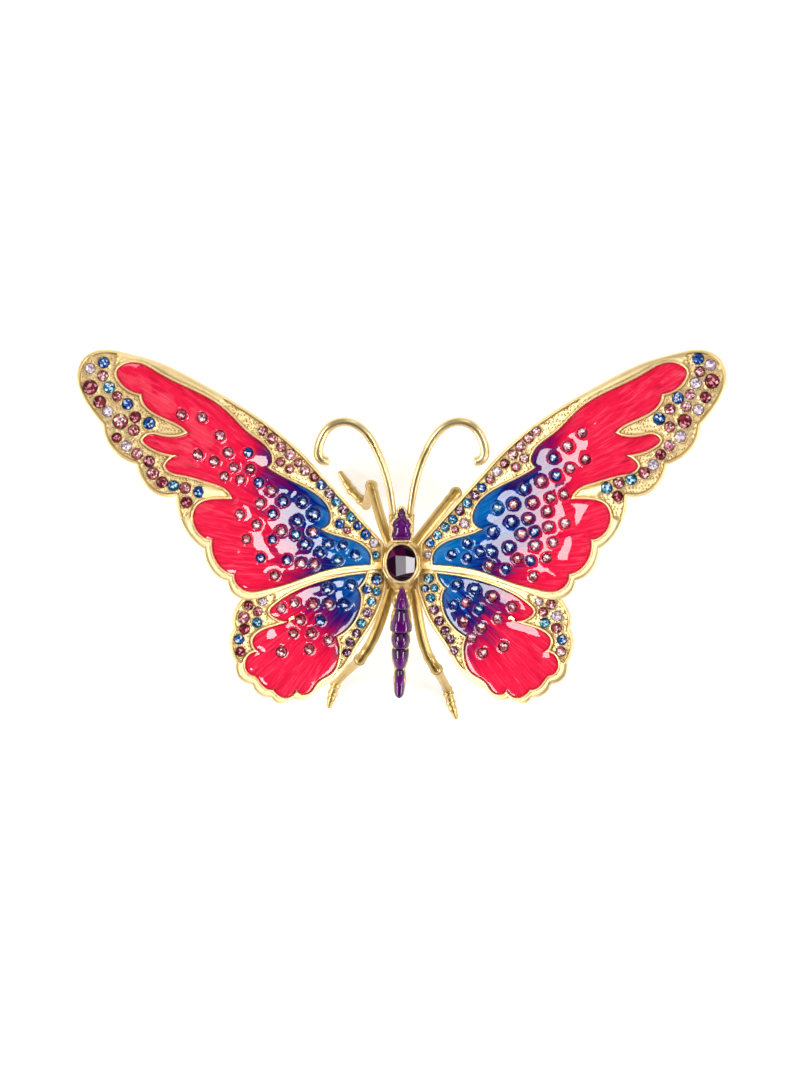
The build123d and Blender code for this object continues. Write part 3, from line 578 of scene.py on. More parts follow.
def sweep_faces(rings, count, closed=False):
    """Quads from ring to ring of so many vertices, and an end face at both ends of an open sweep."""
    faces = []
    for k in range(rings if closed else rings - 1):
        faces += quad_ring(k * count, (k + 1) % rings * count, count)
    if not closed:
        faces.append(tuple(range(count))[::-1])
        faces.append(tuple((rings - 1) * count + j for j in range(count)))
    return faces


def turned_to(side, faces):
    """The faces as they are for the right side, and turned over for the left."""
    return faces if side > 0 else [face[::-1] for face in faces]


def point_attribute(piece, name, values):
    """A number or a vector for each vertex of a piece."""
    values = np.asarray(values, np.float32)
    kind, field = ("FLOAT", "value") if values.ndim == 1 else ("FLOAT_VECTOR", "vector")
    attribute = piece.data.attributes.new(name, kind, "POINT")
    attribute.data.foreach_set(field, values.ravel())


def hashed(*numbers):
    """A repeatable value from 0 to 1 for a set of numbers."""
    total = sum(n * f for n, f in zip(numbers, (12.9898, 78.233, 37.719, 9.137)))
    value = math.sin(total) * 43758.5453
    return value - math.floor(value)


def stones_of(node):
    """Plan position and radius of each stone of a CAD node, read from its mesh."""
    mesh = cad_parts[node].data
    places = np.empty(len(mesh.vertices) * 3)
    mesh.vertices.foreach_get("co", places)
    places = places.reshape(-1, 3) / MM
    keys = np.round(places, 3)
    merged, index = np.unique(keys, axis=0, return_inverse=True)
    index = index.ravel()
    parent = list(range(len(merged)))

    def root(k):
        while parent[k] != k:
            parent[k] = parent[parent[k]]
            k = parent[k]
        return k

    for edge in mesh.edges:
        a, b = (root(index[v]) for v in edge.vertices)
        if a != b:
            parent[a] = b
    roots = np.array([root(k) for k in range(len(merged))])
    side = 1 if merged[:, 0].mean() > 0 else -1
    found = []
    for group in np.unique(roots):
        corners = merged[roots == group].copy()
        corners[:, 0] *= side
        corners[:, 1] -= THORAX_Y
        centre = np.array(WING_CENTRE)
        axis = unit(corners.mean(0) - centre)
        out = corners - centre
        height = out @ axis
        wide = np.linalg.norm(out - height[:, None] * axis, axis=1)
        girdle = height[wide > 0.9 * wide.max()].mean()
        seat = centre + axis * girdle
        found.append((seat[0], seat[1], wide.max(), girdle - WING_RADIUS))
    return sorted(found)


def stone_axis(x, y, level):
    """Where a stone sits on the right wing, and the direction that it faces."""
    centre = np.array(WING_CENTRE)
    rise = math.sqrt((WING_RADIUS + level) ** 2 - (x - centre[0]) ** 2 - (y - centre[1]) ** 2)
    place = np.array([x, y, centre[2] + rise])
    return place, unit(place - centre)


def plan_frame(axis):
    """The two directions square to an axis that run east and north in plan."""
    east = unit(np.cross((0, 1, 0), axis))
    return east, np.cross(axis, east)


def ellipse(half, z, turns):
    """Points at some turns of an ellipse, given by its two half widths, as vertices at a height."""
    return [(half[0] * math.cos(turn), half[1] * math.sin(turn), z) for turn in turns]


def circle(radius, z, turns):
    return ellipse((radius, radius), z, turns)


def even_turns(count, shift=0.0):
    return [2 * math.pi * (k + shift) / count for k in range(count)]


# Radius and height of a brilliant's rings of corners, for a stone of radius 1
GEM_TABLE = (0.50, 0.34)
GEM_STAR = (0.76, 0.22)
GEM_GIRDLE = (0.97, 0.02)
GEM_FOOT = -0.10
GEM_CULET = -0.55


def gem_pattern():
    """Vertices, facets and facet kinds of a round brilliant of radius 1."""
    verts = circle(*GEM_TABLE, even_turns(8))
    verts += circle(*GEM_STAR, even_turns(8, 0.5))
    for height in (GEM_GIRDLE[1], GEM_FOOT):
        verts += circle(GEM_GIRDLE[0], height, even_turns(16))
    verts += [(0.0, 0.0, GEM_CULET), (0.0, 0.0, GEM_TABLE[1] + 0.01)]
    faces = [(k, (k + 1) % 8, 49) for k in range(8)]
    kinds = ["table"] * 8
    for k in range(8):
        table, following = k, (k + 1) % 8
        star, before = 8 + k, 8 + (k - 1) % 8
        girdle = 16 + 2 * k
        faces += [(table, star, following), (table, before, girdle, star)]
        kinds += ["star", "kite"]
        faces += [(star, girdle, girdle + 1), (star, girdle + 1, 16 + (2 * k + 2) % 16)]
        kinds += ["break", "break"]
    for k in range(16):
        upper, beside = 16 + k, 16 + (k + 1) % 16
        faces += [(upper, upper + 16, beside + 16, beside), (upper + 16, 48, beside + 16)]
        kinds += ["girdle", "back"]
    return np.array(verts), faces, kinds


GEM_VERTS, GEM_FACES, GEM_KINDS = gem_pattern()
# Share of each kind of facet painted dark and painted with a glint, standing for reflections; the rest shows
# the stone's main colour
HIDDEN_SHARES = {"girdle": (1.0, 0.0), "back": (1.0, 0.0)}
BORDER_SHARES = {
    "table": (0.34, 0.34), "star": (0.34, 0.28), "kite": (0.46, 0.16), "break": (0.75, 0.04),
    **HIDDEN_SHARES,
}
# The same for a stone in the enamel, on the side where its painted glints gather, as light falls from there,
# and on the rest, painted in shade
BRIGHT_SHARES = {
    "table": (0.0, 1.0), "star": (0.05, 0.80), "kite": (0.30, 0.32), "break": (0.7, 0.0),
    **HIDDEN_SHARES,
}
SHADED_SHARES = {
    "table": (0.60, 0.04), "star": (0.60, 0.06), "kite": (0.65, 0.0), "break": (0.85, 0.0),
    **HIDDEN_SHARES,
}
# Plan direction on each side toward which a stone's painted glints gather, and how far toward it a facet must
# lie to get them
FLASH_TURN = {-1: math.radians(250), 1: math.radians(75)}
FLASH_EDGE = 0.2
# How much of its second colour a crystal shows in the borders and in the enamel
AURORA = {
    "sapphire": (0.55, 0.1), "aqua": (0.9, 0.3), "opal": (1.0, 1.0), "rose": (0.4, 0.3),
    "light_rose": (0.6, 0.3), "garnet": (0.3, 0.3), "amethyst": (0.7, 0.7),
}


def facet_tone(shares, kind, chance, depth):
    """Painted tone of a facet from 0, a dark reflection, through 0.5, main colour, to 1, a painted glint."""
    dark, flash = shares[kind]
    if chance < dark:
        return 0.18 * depth
    if chance > 1 - flash:
        return 0.82 + 0.18 * depth
    return 0.35 + 0.25 * depth


def make_stones(name, stones, colour, node, side, cell):
    """All stones of one colour on one wing, cut as brilliants, each turned its own way."""
    verts, faces, tones = [], [], []
    sunk = inside(np.array([stone[:2] for stone in stones]), cell)
    for (x, y, radius, level), gathered in zip(stones, sunk):
        place, axis = stone_axis(x, y, level)
        east, north = plan_frame(axis)
        spin = 2 * math.pi * hashed(x, y)
        across = math.cos(spin) * east + math.sin(spin) * north
        ahead = np.cross(axis, across)
        local = GEM_VERTS * radius
        points = place + local[:, :1] * across + local[:, 1:2] * ahead + local[:, 2:] * axis
        start = len(verts)
        verts += points.tolist()
        for number, (face, kind) in enumerate(zip(GEM_FACES, GEM_KINDS)):
            faces.append(tuple(start + k for k in face))
            shares = BORDER_SHARES
            # A stone in the enamel gets painted glints on one side and painted shade on the rest
            if gathered:
                middle = points[list(face)].mean(0) - place
                reach = max(0.2 * radius, math.hypot(middle[0], middle[1]))
                turn = FLASH_TURN[side]
                bright = (side * middle[0] * math.cos(turn) + middle[1] * math.sin(turn)) / reach
                shares = BRIGHT_SHARES if bright > FLASH_EDGE else SHADED_SHARES
            tone = facet_tone(shares, kind, hashed(x, y, number), hashed(y, number, x))
            flash = AURORA[colour][int(gathered)] * hashed(y, x, number, 3.1)
            tones += [(tone, flash, 0.0, 1.0)] * len(face)
    verts = np.array(verts)
    verts[:, 0] *= side
    verts[:, 1] += THORAX_Y
    piece = make_piece(
        name, verts, turned_to(side, faces), CRYSTALS[colour], [node], sharp=0
    )
    facet_attribute(piece, tones)


# Middle of the arcs in which a hindwing's paint turns, and how far from it the red starts
HINDWING_FAN = (8.0, -4.0)
HINDWING_TURN = 28.0
# How far in from the red each forewing's paint turns, as plan x at each plan y
FOREWING_TURN_Y = (-10, -4, 5, 14, 20, 26, 30, 34, 38, 44, 60)
FOREWING_TURN_X = {
    -1: (36, 37, 40, 43, 45, 46, 48, 48, 47, 48, 49),
    1: (35, 36, 43, 47, 48, 50, 53, 50, 49, 51, 52),
}


def forewing_paint(plan, side):
    """Millimetres inside the place where the red turns to purple, for the enamel's ramp."""
    return np.interp(plan[:, 1], FOREWING_TURN_Y, FOREWING_TURN_X[side]) - plan[:, 0]


def hindwing_paint(plan, side):
    """The same for a hindwing, whose colours run in arcs about the root."""
    away = plan - np.array(HINDWING_FAN)
    return HINDWING_TURN + side - np.hypot(away[:, 0], away[:, 1])


def enamel_wave(plan, side):
    """The slow unevenness of hand-laid enamel."""
    x, y = plan[:, 0], plan[:, 1]
    return WAVE_HEIGHT[side] * np.sin(0.55 * x + 0.31 * y + side) * np.cos(0.27 * x - 0.62 * y + 2 * side)


def stone_rings(stones, gaps, count):
    """Points round each stone at gaps from its edge."""
    rings = []
    for x, y, radius, _ in stones:
        for gap in gaps:
            turns = 2 * math.pi * (np.arange(count) + 0.5 * (gaps.index(gap) % 2)) / count
            reach = radius + gap
            rings.append(np.stack([x + reach * np.cos(turns), y + reach * np.sin(turns)], axis=1))
    return np.concatenate(rings)


def nearest_stone(plan, stones):
    """Distance of each plan point outside the nearest stone's edge, negative inside it."""
    gap = np.full(len(plan), 99.0)
    for x, y, radius, _ in stones:
        gap = np.minimum(gap, np.hypot(plan[:, 0] - x, plan[:, 1] - y) - radius)
    return gap


# Ring of corners by which a grain is rooted, as height and reach for a grain of radius 1
GRAIN_ROOT = (-0.8, 0.9)


def bead(place, axis, radius, sides=7, rings=3):
    """A small half ball of metal standing on a surface."""
    east, north = plan_frame(axis)
    tilts = [0.5 * math.pi * ring / rings for ring in range(1, rings + 1)]
    verts = [place + axis * radius]
    for height, reach in [*((math.cos(tilt), math.sin(tilt)) for tilt in tilts), GRAIN_ROOT]:
        for turn in even_turns(sides):
            flat = math.cos(turn) * east + math.sin(turn) * north
            verts.append(place + radius * (height * axis + reach * flat))
    faces = [(0, 1 + k, 1 + (k + 1) % sides) for k in range(sides)]
    for ring in range(rings):
        low = 1 + ring * sides
        for k in range(sides):
            beside = (k + 1) % sides
            faces.append((low + k, low + sides + k, low + sides + beside, low + beside))
    last = 1 + rings * sides
    faces.append(tuple(last + k for k in range(sides))[::-1])
    # Painted shade, from none at the grain's top to full round its root, where shade falls against the floor
    shade = np.concatenate([[0.0], np.repeat([0.1, 0.75, 1.0], sides), np.ones(sides)])
    return np.array(verts), faces, shade


# Gap from a stone of the grains round it and of any, pitch of the grains away from stones and how
# far they stray, least pitch of any two, and their radius with what chance adds
GRAIN_GAP = 0.34
GRAIN_CLEAR = 0.22
GRAIN_GRID = 1.05
GRAIN_STRAY = 0.25
GRAIN_PITCH = 0.62
GRAIN_SIZE = (0.3, 0.1)


def pave_grains(stones, border, outline, cell):
    """Places for metal grains in the gaps between border stones."""
    candidates = []
    for x, y, radius, _ in stones:
        for k in range(9):
            turn = 2 * math.pi * (k + hashed(x, y, 5.0)) / 9
            reach = radius + GRAIN_GAP
            candidates.append((x + reach * math.cos(turn), y + reach * math.sin(turn)))
    grid = plan_grid(outline, GRAIN_GRID)
    grid += GRAIN_STRAY * np.sin(grid[:, ::-1] * 5.3)
    candidates = np.concatenate([np.array(candidates), grid])
    clear = nearest_stone(candidates, stones) > GRAIN_CLEAR
    clear &= border(candidates) & deep_inside(candidates, outline, RIM_WIDTH + 0.1)
    clear &= ~inside(candidates, cell) & (distance_to(candidates, cell) > BAND_GAP + 0.15)
    kept = []
    for point in candidates[clear]:
        if all(math.hypot(point[0] - q[0], point[1] - q[1]) > GRAIN_PITCH for q in kept):
            kept.append(point)
    return kept


def frame_level(plan, outline, cell, pave, border):
    """Level of a gold frame's top at each plan point, and how much painted shade its recesses get there."""
    from_edge = distance_to(plan, outline)
    from_cell = distance_to(plan, cell)
    in_bed = inside(plan, cell) & (from_cell > 0.03)
    across = np.clip(from_edge / np.maximum(from_edge + from_cell, 0.3), 0, 1)
    band = EDGE_LOW + (WIRE_TOP - EDGE_LOW) * arch(across) ** 0.7
    band = band - BAND_GROOVE * hump(from_cell, BAND_GAP, 0.16)
    rim = EDGE_LOW + (RIM_TOP - EDGE_LOW) * arch(from_edge / RIM_WIDTH)
    gap = nearest_stone(plan, pave)
    floor = np.where(gap < -0.1, SEAT_LEVEL, PAVE_FLOOR + hump(gap, *COLLAR))
    sunken = np.maximum(floor, np.where(from_edge < RIM_WIDTH, rim, -9))
    wire = WIRE_LOW + (WIRE_TOP - WIRE_LOW) * arch(from_cell / (2 * WIRE_HALF))
    wire = np.where(from_cell < 2 * WIRE_HALF, wire, -9)
    level = np.where(border(plan) & (from_cell > BAND_GAP - 0.02), sunken, band)
    level = np.maximum(level, wire)
    level = np.where(from_edge < 0.02, EDGE_LOW, level)
    level = np.where(in_bed, ENAMEL_BASE, level)
    level = np.where(from_cell < 0.02, WIRE_FOOT, level)
    # Painted shade: a dark line inside the rim of the borders, a dark ring round each border stone and a line
    # beside the wire, where shade falls in the grooves
    in_border = border(plan) & ~in_bed
    recess_shade = 0.75 * hump(from_edge, 1.05, 0.25) * in_border
    recess_shade += 0.8 * hump(np.clip(gap, 0, 9), 0, 0.12) * in_border
    recess_shade += np.where(in_border, 0.7, 0.25) * hump(from_cell, 0.95, 0.14) * ~in_bed
    return level, np.clip(recess_shade, 0, 1)


def make_frame(name, node, outline, cell, rows, pave, border, drop, side):
    """A wing's gold frame: rounded rim, crowned bands, wire round the enamel and sunk borders."""
    bed_grid = plan_grid(outline, BED_GRID)
    bed_grid = bed_grid[inside(bed_grid, cell)]
    floor_rows = stone_rings(pave, [-0.25, -0.02, 0.14, 0.3], 16)
    extra = np.concatenate([*rows, floor_rows, plan_grid(outline, GRID)])
    extra = np.concatenate([extra[~deep_inside(extra, cell, 0.08)], bed_grid])
    extra = extra[deep_inside(extra, outline, 0.05)]
    extra = thinned(extra[distance_to(extra, cell) > 0.03], 0.12)
    plan, faces = triangulate(outline, np.concatenate([cell, extra]))
    level, recess_shade = frame_level(plan, outline, cell, pave, border)
    inner_rows = [beside_loop(outline, -d) for d in PLATE_ROWS]
    below_plan, below_faces = triangulate(outline, np.concatenate([*inner_rows, bed_grid]))
    below_gap = distance_to(below_plan, outline)
    below_level = PLATE_EDGE + (PLATE_BOTTOM - PLATE_EDGE) * smoothstep(below_gap, -0.4, 1.0)
    count = len(plan)
    partner = {tuple(np.round(p, 4)): k + count for k, p in enumerate(below_plan)}
    walls = []
    for a, b in open_edges(faces):
        low_a = partner[tuple(np.round(plan[a], 4))]
        low_b = partner[tuple(np.round(plan[b], 4))]
        walls.append((b, a, low_a, low_b))
    everything = turned_to(side, faces.tolist() + (below_faces[:, ::-1] + count).tolist() + walls)
    pieces = [lift(plan, level - drop, side), lift(below_plan, below_level - drop, side)]
    shades = [recess_shade, np.zeros(len(below_plan))]
    total = count + len(below_plan)
    for x, y in pave_grains(pave, border, outline, cell):
        place, axis = stone_axis(x, y, PAVE_FLOOR - drop + 0.05)
        grain, grain_faces, grain_shade = bead(place, axis, GRAIN_SIZE[0] + GRAIN_SIZE[1] * hashed(x, y, 7.0))
        grain[:, 0] *= side
        grain[:, 1] += THORAX_Y
        pieces.append(grain)
        shades.append(grain_shade)
        everything += [tuple(total + k for k in face) for face in turned_to(side, grain_faces)]
        total += len(grain)
    gold = make_piece(name, np.concatenate(pieces), everything, GOLD, [node], sharp=50)
    point_attribute(gold, "painted_shade", np.concatenate(shades))


# Millimetres of brush run for each radian round the root, and its shift from side to side
BRUSH_TURN = 45.0
BRUSH_SHIFT = 3.0


def make_enamel(name, node, cell, rows, sunk, paint, root, drop, side):
    """A wing's enamel, domed from the wire with a raised lip round each stone, painted from its root."""
    rings = stone_rings(sunk, [-0.2, 0.0, 0.14, 0.3, 0.5, 0.8, 1.15], 20)
    extra = np.concatenate([*rows, rings, plan_grid(cell, GRID)])
    extra = thinned(extra[deep_inside(extra, cell, 0.06)], 0.1)
    plan, faces = triangulate(cell, extra)
    from_cell = distance_to(plan, cell)
    gap = nearest_stone(plan, sunk)
    level = ENAMEL_EDGE + (ENAMEL_TOP - ENAMEL_EDGE) * (1 - np.exp(-from_cell / ENAMEL_TOP_REACH))
    level += ENAMEL_CROWN * (1 - np.exp(-from_cell / ENAMEL_CROWN_REACH))
    level += enamel_wave(plan, side) * smoothstep(from_cell, 0.0, 1.2)
    level += hump(gap, *LIP) + hump(gap, *LIP_FOOT)
    level = np.where(gap < -0.1, PIT_LEVEL, level)
    level = np.where(from_cell < 0.02, ENAMEL_EDGE, level)
    bottom = np.full(len(plan), ENAMEL_BASE + 0.01)
    verts, everything = slab(plan, faces, level - drop, bottom - drop, side)
    enamel = make_piece(name, verts, everything, ENAMEL, [node], sharp=60)
    # Painted shade: dark rings round the stones, a dark line along the wire and a soft fall of shade inward
    # from it
    lip = 0.8 * hump(np.clip(gap, 0, 9), 0, 0.13) + 0.55 * hump(from_cell, 0, 0.35)
    lip += 0.25 * np.exp(-from_cell / 0.9)
    away = plan - np.array(root)
    reach = np.hypot(away[:, 0], away[:, 1])
    angle = np.arctan2(away[:, 1], away[:, 0])
    flow = np.stack([reach, angle * BRUSH_TURN, np.full(len(plan), side * BRUSH_SHIFT)], axis=1)
    point_attribute(enamel, "paint", np.tile(paint(plan, side), 2))
    point_attribute(enamel, "painted_shade", np.tile(np.clip(lip, 0, 1), 2))
    point_attribute(enamel, "flow", np.concatenate([flow, flow]))


def make_wing(wing, edge_runs, cell_runs, areas, drop, paint, root):
    """Both sides of one pair of wings: frame, enamel and stones."""
    outline = loop_points(edge_runs)
    cell = loop_points(cell_runs)
    zones = [np.array(area, float) for area in areas]

    def border(plan):
        found = np.zeros(len(plan), bool)
        for zone in zones:
            found |= inside(plan, zone)
        return found

    frame_rows = [beside_loop(outline, -d) for d in RIM_ROWS]
    frame_rows += [beside_loop(cell, d) for d in (*WIRE_ROWS, -BED_ROW)]
    enamel_rows = [beside_loop(cell, -d) for d in ENAMEL_ROWS]
    for side, side_name in SIDES:
        prefix = f"{side_name}_{wing}"
        groups = {}
        for colour in COLOURS:
            node = f"{prefix}_{colour}_stones"
            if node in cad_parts:
                groups[colour] = stones_of(node)
        stones = [stone for group in groups.values() for stone in group]
        in_cell = inside(np.array([stone[:2] for stone in stones]), cell)
        sunk = [stone for stone, within in zip(stones, in_cell) if within]
        pave = [stone for stone, within in zip(stones, in_cell) if not within]
        make_frame(f"{prefix}_gold", f"{prefix}_frame", outline, cell, frame_rows, pave, border, drop, side)
        make_enamel(
            f"{prefix}_enamel_fill", f"{prefix}_enamel", cell, enamel_rows, sunk, paint, root, drop, side
        )
        for colour, group in groups.items():
            make_stones(f"{prefix}_{colour}_crystals", group, colour, f"{prefix}_{colour}_stones", side, cell)


make_wing(
    "forewing", FOREWING_EDGE, FOREWING_CELL, FOREWING_BORDERS, 0.0, forewing_paint, (-14.0, -6.0)
)
make_wing(
    "hindwing", HINDWING_EDGE, HINDWING_CELL, HINDWING_BORDERS, HINDWING_DROP, hindwing_paint, (0.0, 6.0)
)


# Body
ABDOMEN_START = np.array([0.2, -7.0, 34.0])
ABDOMEN_END = np.array([-0.8, -42.5, 27.5])
# Each segment as start and end along the line, height over the line at both ends and at most, and
# its half widths in plan at even steps from start to end
ABDOMEN_SEGMENTS = [
    (0.0, 7.2, (1.2, 2.9, 3.0), (0.35, 0.85, 1.3, 1.7, 2.05, 2.35, 2.45)),
    (7.0, 14.9, (2.7, 3.6, 3.2), (2.15, 2.4, 2.7, 3.0, 3.3, 3.4, 2.9)),
    (14.8, 20.1, (2.6, 3.3, 2.8), (2.4, 2.7, 2.9, 2.9, 2.75, 2.5, 2.1)),
    (20.0, 26.6, (2.4, 3.0, 2.1), (2.45, 2.65, 2.65, 2.5, 2.2, 1.85, 1.45)),
    (26.5, 35.9, (1.8, 2.3, 1.6), (1.4, 1.6, 1.7, 1.72, 1.68, 1.5, 0.7)),
]
GOLD_MARGIN = 0.14
SEGMENT_STEPS = 22
# How much a segment narrows and sinks at its very ends, and where its foot lies under its side edges
END_NARROW = 0.18
END_SINK = 0.14
SEGMENT_FOOT = (0.6, 0.8)


def segment_shell(segment, grow, top_share, low):
    """A closed barrel half over a segment of the abdomen, from its side edges up."""
    start, end, (first, most, last), widths = segment
    axis = unit(ABDOMEN_END - ABDOMEN_START)
    across = unit(np.array([1.0, 0, 0]) - axis * axis[0])
    up = np.cross(axis, across)
    steps = SEGMENT_STEPS
    t = np.linspace(0, 1, steps)
    half = curve_points([(k / 6, w) for k, w in enumerate(widths)], 0.02)
    half = np.interp(t, half[:, 0], half[:, 1]) + grow
    rise = np.interp(t, (0, 0.5, 1), (first, most, last))
    rise = rise + (most - (first + last) / 2) * 0.35 * np.sin(math.pi * t)
    ends = np.sqrt(np.clip(1 - (2 * t - 1) ** 14, 0, 1))
    half = half * (1 - END_NARROW + END_NARROW * ends)
    rise = rise * (1 - END_SINK + END_SINK * ends) * top_share
    angles = np.linspace(-math.pi / 2, math.pi / 2, 19)
    verts = []
    for k in range(steps):
        centre = ABDOMEN_START + axis * (start - grow * 0.4 + (end - start + grow * 0.8) * t[k])
        for angle in angles:
            verts.append(centre + across * half[k] * math.sin(angle) + up * (rise[k] * math.cos(angle) + low))
        foot = across * half[k] * SEGMENT_FOOT[0]
        drop = up * (low - SEGMENT_FOOT[1])
        verts += [centre + foot + drop, centre - foot + drop]
    return np.array(verts) + (0, THORAX_Y, 0), sweep_faces(steps, len(angles) + 2)


def outward_first(verts, faces):
    """The faces turned so that the closed shell's normals point out."""
    volume = 0.0
    middle = verts.mean(0)
    for face in faces:
        a = verts[face[0]] - middle
        for k in range(1, len(face) - 1):
            volume += a @ np.cross(verts[face[k]] - middle, verts[face[k + 1]] - middle)
    return faces if volume > 0 else [face[::-1] for face in faces]


for number, segment in enumerate(ABDOMEN_SEGMENTS, start=1):
    verts, faces = segment_shell(segment, 0.0, 1.0, 1.5 if number == 1 else 0.1)
    purple = make_piece(
        f"abdomen_segment_{number}", verts, outward_first(verts, faces), PURPLE,
        [f"abdomen_enamel_{number}"], sharp=50,
    )
    # Painted shade at the start of each segment after the first, where it tucks under the one before
    down = np.repeat(np.linspace(0, 1, SEGMENT_STEPS), len(verts) // SEGMENT_STEPS)
    point_attribute(purple, "painted_shade", (number > 1) * 0.95 * hump(down, 0, 0.24))


def joined(parts):
    """Several closed shells as one list of vertices and faces."""
    verts, faces, total = [], [], 0
    for part_verts, part_faces in parts:
        verts.append(part_verts)
        faces += [tuple(total + k for k in face) for face in part_faces]
        total += len(part_verts)
    return np.concatenate(verts), faces


gold_barrels = []
for segment in ABDOMEN_SEGMENTS:
    verts, faces = segment_shell(segment, GOLD_MARGIN, 0.55, -0.35)
    gold_barrels.append((verts, outward_first(verts, faces)))
verts, faces = joined(gold_barrels)
make_piece("abdomen_gold", verts, faces, GOLD, [], sharp=50)

HEAD_HALF = [
    [(0.0, 17.2), (0.8, 16.3), (1.15, 15.2), (1.05, 14.2)],
    [(1.05, 14.2), (2.1, 13.2), (2.95, 11.8)],
    [(2.95, 11.8), (2.5, 10.8), (2.6, 9.8), (3.0, 8.8)],
    [(3.0, 8.8), (2.6, 7.2)],
]
HEAD_BACK = [(2.6, 7.2), (-2.6, 7.2)]
HEAD_SHAPE = [*HEAD_HALF, HEAD_BACK, *([(-x, y) for x, y in run[::-1]] for run in HEAD_HALF[::-1])]
HEAD_EDGE_Z = 39.9
HEAD_DOME = 1.5
HEAD_FOOT_Z = 39.0


def domed_plate(loop, edge_z, dome, fall, foot_z, rows, spacing):
    """A closed plate over a plan outline whose top swells up from its edge."""
    extra = np.concatenate([beside_loop(loop, -d) for d in rows] + [plan_grid(loop, spacing)])
    extra = thinned(extra[deep_inside(extra, loop, 0.04)], 0.06)
    plan, faces = triangulate(loop, extra)
    gap = distance_to(plan, loop)
    top = edge_z + dome * (1 - np.exp(-gap / fall))
    count = len(plan)
    verts = np.concatenate([
        np.column_stack([plan[:, 0], plan[:, 1] + THORAX_Y, top]),
        np.column_stack([plan[:, 0], plan[:, 1] + THORAX_Y, np.full(count, foot_z)]),
    ])
    walls = [(b, a, a + count, b + count) for a, b in open_edges(faces)]
    return verts, faces.tolist() + (faces[:, ::-1] + count).tolist() + walls


HEAD_STEP = 0.2
head_loop = loop_points(HEAD_SHAPE, HEAD_STEP)
verts, faces = domed_plate(
    head_loop, HEAD_EDGE_Z, HEAD_DOME, 0.75, HEAD_FOOT_Z, (0.08, 0.2, 0.4, 0.7), 0.3
)
make_piece("head_dome", verts, faces, PURPLE, ["head_enamel"], sharp=60)

# Scalloped bead of gold round the head
HEAD_BEAD = 0.42
HEAD_BEAD_Z = 40.0
SCALLOP_DEPTH = 0.18
SCALLOP_PITCH = 1.3


def bead_ring(loop, z, radius, sides=12):
    """A closed bead that follows a loop, its width swelling in small scallops."""
    count = len(loop)
    along = unit(np.roll(loop, -1, axis=0) - np.roll(loop, 1, axis=0))
    outward = np.stack([-along[:, 1], along[:, 0]], axis=1)
    verts = []
    for k in range(count):
        size = radius * (1 + SCALLOP_DEPTH * math.sin(2 * math.pi * k * HEAD_STEP / SCALLOP_PITCH))
        for j in range(sides):
            turn = 2 * math.pi * j / sides
            x, y = loop[k] + outward[k] * size * math.cos(turn)
            verts.append((x, y + THORAX_Y, z + size * math.sin(turn)))
    return np.array(verts), sweep_faces(count, sides, closed=True)


bead_line = thinned(beside_loop(head_loop, 0.36), 0.05)
bead_turn = np.arctan2(bead_line[:, 1] - 11.0, 2.0 * bead_line[:, 0])
bead_line = bead_line[np.argsort(-bead_turn)]
verts, faces = bead_ring(bead_line, HEAD_BEAD_Z, HEAD_BEAD)
make_piece("head_rim", verts, outward_first(verts, faces), GOLD, [], sharp=50)

# Oval stone: corners of its large facets in plan, the middle four and then the ring round them
OVAL_SIZE = (4.72, 5.66)
OVAL_GIRDLE_Z = 40.9
OVAL_RISE = 1.9
OVAL_MIDDLE = [(-1.9, 2.3), (1.3, 2.1), (1.4, -3.3), (-1.7, -4.2)]
OVAL_RING = [
    (4.15, 1.5), (3.2, 3.6), (1.0, 4.75), (-2.6, 4.3), (-4.2, 1.2), (-4.0, -2.6), (-2.6, -4.5),
    (0.2, -5.25), (2.4, -4.5), (4.05, -2.9),
]
# Facets by the corners above, 0 to 3 the middle and 4 to 13 the ring, with painted tone, standing for
# reflections from dark to glint, and second colour
OVAL_FACETS = [
    ((0, 3, 2, 1), 0.72, 0.0), ((1, 2, 13, 4), 0.97, 0.0), ((8, 9, 3, 0), 0.10, 0.3),
    ((0, 1, 6, 7), 0.14, 0.8), ((1, 4, 5), 0.02, 0.0), ((1, 5, 6), 0.06, 0.1), ((2, 12, 13), 0.22, 0.4),
    ((3, 11, 12, 2), 0.04, 0.2), ((9, 10, 3), 0.30, 0.6), ((10, 11, 3), 0.12, 0.4), ((7, 8, 0), 0.42, 0.9),
]
OVAL_FOOT = (0.55, -1.85)


